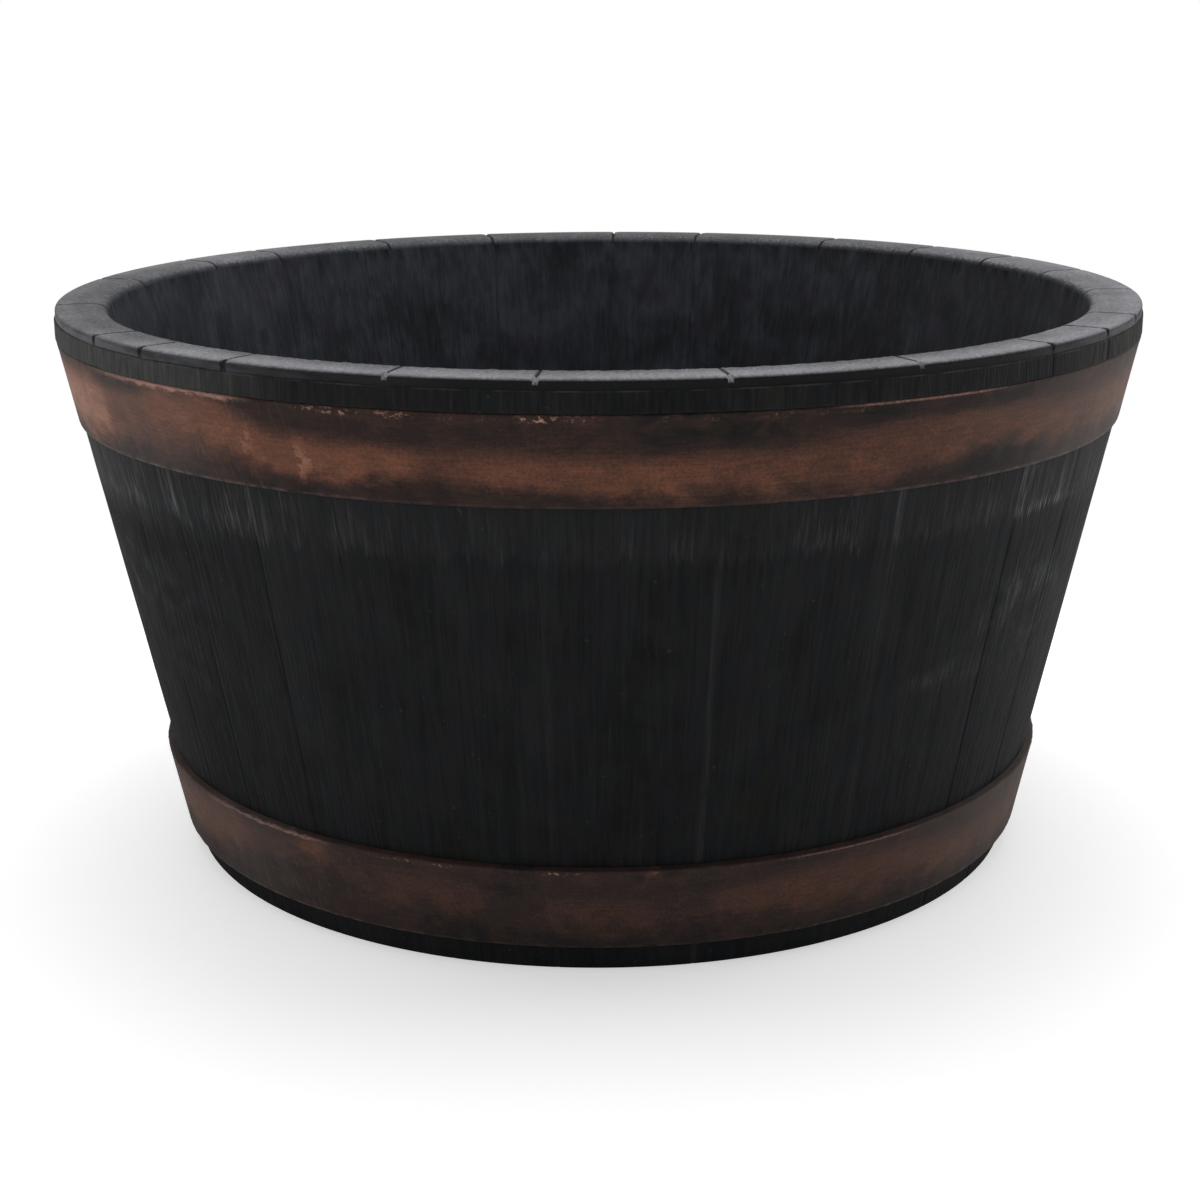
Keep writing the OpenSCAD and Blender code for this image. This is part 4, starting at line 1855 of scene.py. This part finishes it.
@dataclass
class DrainPlug:
    """The four push-in plugs, each with a head, a shank and a pull tab with a finger hole.

    Attributes:
        sizes: The tub's sizes.
        clearance: Gap between a shank and its hole.
        head_reach: How far a head reaches past its hole.
        head_t: Thickness of a head.
        head_round: Rounding of its rim.
        tab_w: Width of a tab.
        tab_t: Thickness of a tab.
        tab_h: Height of a tab above its head.
        tab_round: Rounding of its edges.
        hole_r: Radius of the finger hole.
        chamfer: Chamfer at a shank's lower end.
    """

    sizes: TubSizes
    clearance: float = 0.3 * MM
    head_reach: float = 6 * MM
    head_t: float = 3 * MM
    head_round: float = 0.8 * MM
    tab_w: float = 18 * MM
    tab_t: float = 4 * MM
    tab_h: float = 14 * MM
    tab_round: float = 0.6 * MM
    hole_r: float = 4 * MM
    chamfer: float = 2 * MM

    def head(self) -> bpy.types.Object:
        """Makes the round head with a softened rim.

        Returns:
            The head.
        """
        radius = self.sizes.drain_r + self.head_reach
        head = cylinder(radius, self.head_t, (0, 0, self.head_t / 2))
        soften(head, self.head_round)
        return head

    def shank(self) -> bpy.types.Object:
        """Makes the shank, chamfered at its lower end.

        Returns:
            The shank.
        """
        depth = self.sizes.liner_floor_top - self.sizes.shell_floor
        middle = (0, 0, (self.head_t / 2 - depth) / 2)
        radius = self.sizes.drain_r - self.clearance
        shank = cylinder(radius, depth + self.head_t / 2, middle)
        pick_underside(shank)
        with edit_mode():
            bpy.ops.mesh.bevel(offset=self.chamfer, offset_type="OFFSET", segments=1,
                               affect="EDGES")
        return shank

    def tab(self) -> bpy.types.Object:
        """Draws the upright tab down from half a disc into the head, and bores the finger hole.

        Returns:
            The tab.
        """
        middle = (0, 0, self.head_t + self.tab_h - self.tab_w / 2)
        tab = cylinder(self.tab_w / 2, self.tab_t, middle, lying=True)
        bpy.ops.object.transform_apply(location=True, rotation=True, scale=True)
        with edit_mode():
            bpy.ops.mesh.select_all(action="SELECT")
            bpy.ops.mesh.bisect(plane_co=middle, plane_no=(0, 0, 1), use_fill=True,
                                clear_inner=True)
        pick_underside(tab)
        with edit_mode():
            down = {"value": (0, 0, self.head_t / 2 - middle[2])}
            bpy.ops.mesh.extrude_region_move(TRANSFORM_OT_translate=down)
        cut_away(tab, cylinder(self.hole_r, self.tab_t * 3, middle, 48, lying=True))
        soften(tab, self.tab_round)
        return tab

    def build(self) -> list[bpy.types.Object]:
        """Makes one plug and copies it to the four drain holes.

        Returns:
            The four plugs.
        """
        first = join([self.head(), self.shank(), self.tab()], "plug")
        activate(first)
        bpy.ops.object.transform_apply(location=True, rotation=True, scale=True)
        rubber = PlugRubber().make()
        seat = Matrix.Translation((0, -self.sizes.drain_ring_r, self.sizes.liner_floor_top))
        made: list[bpy.types.Object] = []
        for n, side in enumerate(SIDES):
            plug = first.copy()
            plug.data = first.data.copy()
            bpy.context.collection.objects.link(plug)
            plug.name = plug.data.name = f"{side}_plug"
            plug.matrix_world = Matrix.Rotation(math.radians(90 * n), 4, "Z") @ seat
            dress(plug, rubber)
            settle(plug, f"plug_{side}", 35)
            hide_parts(f"drain_plug_{side}")
            made.append(plug)
        bpy.data.objects.remove(first, do_unlink=True)
        return made


@dataclass
class Studio:
    """The pale floor, the soft lights and the camera.

    Attributes:
        camera_place: Where the camera stands.
        pitch: How far it is tipped up from looking straight down, in degrees.
        roll: How far it is rolled.
        lens: Its focal length in millimetres.
        dome: Strength of the dome on the tub.
        glow: Strength of the floor's own light as the camera sees it.
        floor_size: The floor's radius.
        shadow: Distances from the tub's axis between which the floor turns plain white.
        greys: The floor's two shades.
    """

    camera_place: tuple[float, float, float] = (0.0, -0.9868, 0.3807)
    pitch: float = 74.185
    roll: float = -0.2825
    lens: float = 63.82
    dome: float = 0.36
    glow: float = 0.5
    floor_size: float = 14.0
    shadow: tuple[float, float] = (0.26, 0.62)
    greys: tuple[Colour, Colour] = ((0.86, 0.86, 0.86, 1), (0.88, 0.88, 0.88, 1))

    def camera(self) -> None:
        """Sets the camera at the photograph's angle."""
        data = bpy.data.cameras.new("camera")
        data.lens, data.sensor_width = self.lens, 36.0
        cam = bpy.data.objects.new("camera", data)
        bpy.context.collection.objects.link(cam)
        cam.matrix_world = (Matrix.Translation(self.camera_place)
                            @ Matrix.Rotation(math.radians(self.pitch), 4, "X")
                            @ Matrix.Rotation(math.radians(self.roll), 4, "Z"))
        bpy.context.scene.camera = cam

    def world(self) -> None:
        """Lights the scene with a soft dome that the camera sees as white."""
        r = Recipe(bpy.data.worlds.new("studio"))
        bpy.context.scene.world = r.owner
        camera = r.node("ShaderNodeLightPath", output="Is Camera Ray")
        seen = r.maths("MAXIMUM", camera, camera.sibling("Is Transmission Ray"))
        strength = r.node("ShaderNodeMapRange", None,
                          {"Value": seen, "To Min": self.dome, "To Max": 1.0})
        r.finish(r.node("ShaderNodeBackground", None, {"Color": WHITE, "Strength": strength}))

    def lamp(self, name: str, place: Sequence[float], size: tuple[float, float], power: float,
             aim: Sequence[float]) -> None:
        """Adds a softbox.

        Args:
            name: Its name.
            place: Where it hangs.
            size: Its width and height.
            power: Its power in watts.
            aim: The point that it faces.
        """
        data = bpy.data.lights.new(name, "AREA")
        data.shape, data.size, data.size_y, data.energy = "RECTANGLE", *size, power
        lamp = bpy.data.objects.new(name, data)
        bpy.context.collection.objects.link(lamp)
        lamp.location = place
        lamp.rotation_euler = (Vector(aim) - Vector(place)).to_track_quat("-Z", "Y").to_euler()

    def floor(self) -> None:
        """Lays the pale floor, which shows as white round the tub and keeps a soft shadow."""
        deselect()
        bpy.ops.mesh.primitive_circle_add(vertices=96, radius=self.floor_size, fill_type="NGON",
                                          location=(0, 0, -0.2 * MM))
        floor = bpy.context.object
        floor.name = "studio_floor"
        r = Recipe(bpy.data.materials.new("pale_floor"))
        place = r.place()
        tone = r.mix(r.noise(place, 3.0), *self.greys)
        matt = r.node("ShaderNodeBsdfDiffuse", None, {"Color": tone})
        glow, white = (r.node("ShaderNodeEmission", None, {"Color": WHITE, "Strength": strength})
                       for strength in (self.glow, 1.0))
        lit = r.node("ShaderNodeAddShader", None, {0: matt, 1: glow})
        away = r.node("ShaderNodeVectorMath", {"operation": "LENGTH"}, {0: place}, "Value")
        shown = r.node("ShaderNodeMixShader", None, {0: away.ease(*self.shadow), 1: lit, 2: white})
        seen = r.node("ShaderNodeLightPath", output="Is Camera Ray")
        r.finish(r.node("ShaderNodeMixShader", None, {0: seen, 1: matt, 2: shown}))
        dress(floor, r.owner)

    def build(self) -> None:
        """Sets the whole studio up."""
        bpy.context.scene.view_settings.view_transform = "Standard"
        self.world()
        self.floor()
        self.lamp("overhead", (0.0, 0.35, 1.7), (1.6, 1.6), 19, (0, 0, 0.1))
        self.lamp("left", (-1.6, 0.5, 0.9), (0.9, 1.4), 4, (0, 0, 0.15))
        self.lamp("right", (1.6, 0.5, 0.9), (0.9, 1.4), 5, (0, 0, 0.15))
        self.camera()


# The copper's curves by bearing: height of the band's middle, half its width, and its thickness
UPPER_MIDDLE: Curve = (
    (-180, 218), (-164, 222), (-148, 216), (-132, 219), (-116, 223), (-102, 217), (-88, 217),
    (-75, 220), (-60, 221), (-50, 223), (-42, 227), (-34, 222), (-25, 217.5), (-10, 216.5),
    (5, 215), (18, 216), (28, 220.5), (38, 222.5), (50, 221), (66, 220), (84, 216), (100, 222),
    (116, 218), (132, 215.5), (148, 221), (164, 223), (180, 218))
UPPER_HALF: Curve = (
    (-180, 9), (-164, 12), (-148, 8), (-132, 9), (-116, 13), (-102, 9), (-88, 9), (-75, 12),
    (-66, 14), (-50, 15), (-42, 14), (-34, 9), (-20, 7.5), (-8, 8.5), (5, 8), (18, 9), (28, 12),
    (38, 10), (50, 9), (66, 11), (84, 8), (100, 12), (116, 9), (132, 8), (148, 11), (164, 12),
    (180, 9))
UPPER_LOAD: Curve = (
    (-180, 0.6), (-164, 0.75), (-148, 0.55), (-132, 0.7), (-116, 0.8), (-102, 0.55), (-88, 0.75),
    (-75, 1.05), (-66, 1.2), (-57, 1.2), (-54, 0.65), (-46, 0.65), (-38, 0.7), (-30, 0.75),
    (-18, 0.8), (-15, 0.5), (-8, 0.6), (8, 0.6), (18, 0.48), (28, 0.42), (37, 0.52), (46, 0.48),
    (66, 0.62), (84, 0.55), (100, 0.7), (116, 0.55), (132, 0.65), (148, 0.5), (164, 0.75),
    (180, 0.6))
UPPER_MARKS = (
    Brushmark(-57, -47, 231, 237, -0.5),
    Brushmark(-56, -24, 200, 208.5, -0.28, 4, 4),
    Brushmark(-47, -34.5, 222, 236, 0.16, 3, 4),
    Brushmark(3, 17, 225, 240, -0.22, 2, 4),
    Brushmark(23, 44, 231, 237, -0.3, 3, 2),
    Brushmark(32, 46, 203, 214, -0.35, 4, 4),
    Brushmark(-27.9, -27.0, 208, 224, 0.4, 0.3),
    Brushmark(-33.7, -33.0, 216, 225, 0.35, 0.3),
    Brushmark(-112, -96, 228, 240, -0.25, 3, 4),
    Brushmark(-150, -134, 201, 212, -0.3, 4, 4),
    Brushmark(78, 92, 225, 240, -0.25, 3, 4),
    Brushmark(118, 140, 227, 240, -0.25, 4, 4),
    Brushmark(152, 172, 202, 212, -0.3, 4, 4),
)
LOWER_MIDDLE: Curve = (
    (-180, 32), (-164, 29), (-148, 34), (-132, 31), (-116, 28), (-98, 33), (-80, 31), (-66, 33),
    (-55, 35), (-47, 37), (-40, 38), (-34, 40), (-28, 34), (-20, 33), (-8, 30), (0, 28), (6, 28),
    (15, 31), (28, 33), (40, 32), (52, 29), (66, 30), (84, 34), (100, 30), (118, 29), (134, 34),
    (150, 31), (166, 28), (180, 32))
LOWER_HALF: Curve = (
    (-180, 9), (-164, 8), (-148, 11), (-132, 8), (-116, 9), (-98, 11), (-80, 10), (-66, 13),
    (-50, 12), (-40, 6.5), (-30, 8), (-20, 10), (-10, 8), (0, 8), (10, 7.5), (22, 9), (35, 10),
    (50, 9), (66, 12), (84, 9), (100, 10), (118, 8), (134, 11), (150, 8), (166, 9), (180, 9))
LOWER_LOAD: Curve = (
    (-180, 0.35), (-164, 0.5), (-148, 0.3), (-132, 0.4), (-116, 0.25), (-98, 0.45), (-80, 0.5),
    (-66, 0.62), (-50, 0.68), (-45, 0.4), (-36, 0.5), (-30, 0.22), (-22, 0.35), (-14, 0.25),
    (-11, 0.06), (-5, 0.25), (3, 0.27), (8, 0.17), (13, 0.37), (25, 0.47), (38, 0.52), (48, 0.55),
    (57, 0.5), (66, 0.48), (84, 0.3), (100, 0.45), (118, 0.25), (134, 0.4), (150, 0.3),
    (166, 0.5), (180, 0.35))
LOWER_MARKS = (
    Brushmark(-37.5, -33.5, 38, 46, 0.3, 1.0, 2),
    Brushmark(-45, -37, 14, 48, -0.16, 2, 4),
    Brushmark(-13, -8, 34, 50, -0.15, 1.5),
    Brushmark(4.5, 6.5, 44, 47.5, 0.45, 0.6, 1),
    Brushmark(-70, 70, 8, 18, -0.12, 3, 4),
)


def hoops(sizes: TubSizes, layout: StaveLayout) -> tuple[Hoop, Hoop]:
    """Gives the two straps their places and their paint.

    Args:
        sizes: The tub's sizes.
        layout: Where the staves meet.

    Returns:
        The upper and the lower strap.
    """
    upper_t, lower_t, lean = 1.4 * MM, 3.4 * MM, math.radians(sizes.taper)
    lower_top = sizes.foot_h + lower_t * math.sin(lean) + Hoop.width * math.cos(lean)
    upper_paint = CopperPaint(
        "upper_copper", top=238.7, bottom=202.5, middle=UPPER_MIDDLE, half=UPPER_HALF,
        load=UPPER_LOAD, thin=0.25, marks=UPPER_MARKS, line_low=1.1, line_half=0.9)
    lower_paint = CopperPaint(
        "lower_copper", top=48.7, bottom=12.0, middle=LOWER_MIDDLE, half=LOWER_HALF,
        load=LOWER_LOAD, thin=0.2, marks=LOWER_MARKS, line_low=1.3, line_half=0.45,
        black=srgb(36, 34, 33), umber=srgb(58, 46, 44), copper=srgb(85, 60, 52),
        bright=srgb(118, 79, 64), pale=srgb(150, 108, 90), edge=srgb(160, 126, 114))
    return (Hoop(sizes, layout, StrapPlace.UPPER, sizes.shoulder_bottom, upper_t, upper_paint,
                 "upper_hoop_paint"),
            Hoop(sizes, layout, StrapPlace.LOWER, lower_top, lower_t, lower_paint,
                 "lower_hoop_paint"))


def main() -> None:
    """Builds the planter piece by piece and sets the studio up."""
    logging.basicConfig(level=logging.INFO, format="%(name)s: %(message)s")
    sizes, layout = TubSizes(), StaveLayout()
    assemblies = (Staves(sizes, layout), Liner(sizes, layout), *hoops(sizes, layout),
                  DrainPlug(sizes))
    for assembly in assemblies:
        for piece in assembly.build():
            piece.data.calc_loop_triangles()
            log.info("%s: %d triangles", piece.name, len(piece.data.loop_triangles))
    Studio().build()


if __name__ == "__main__":
    main()
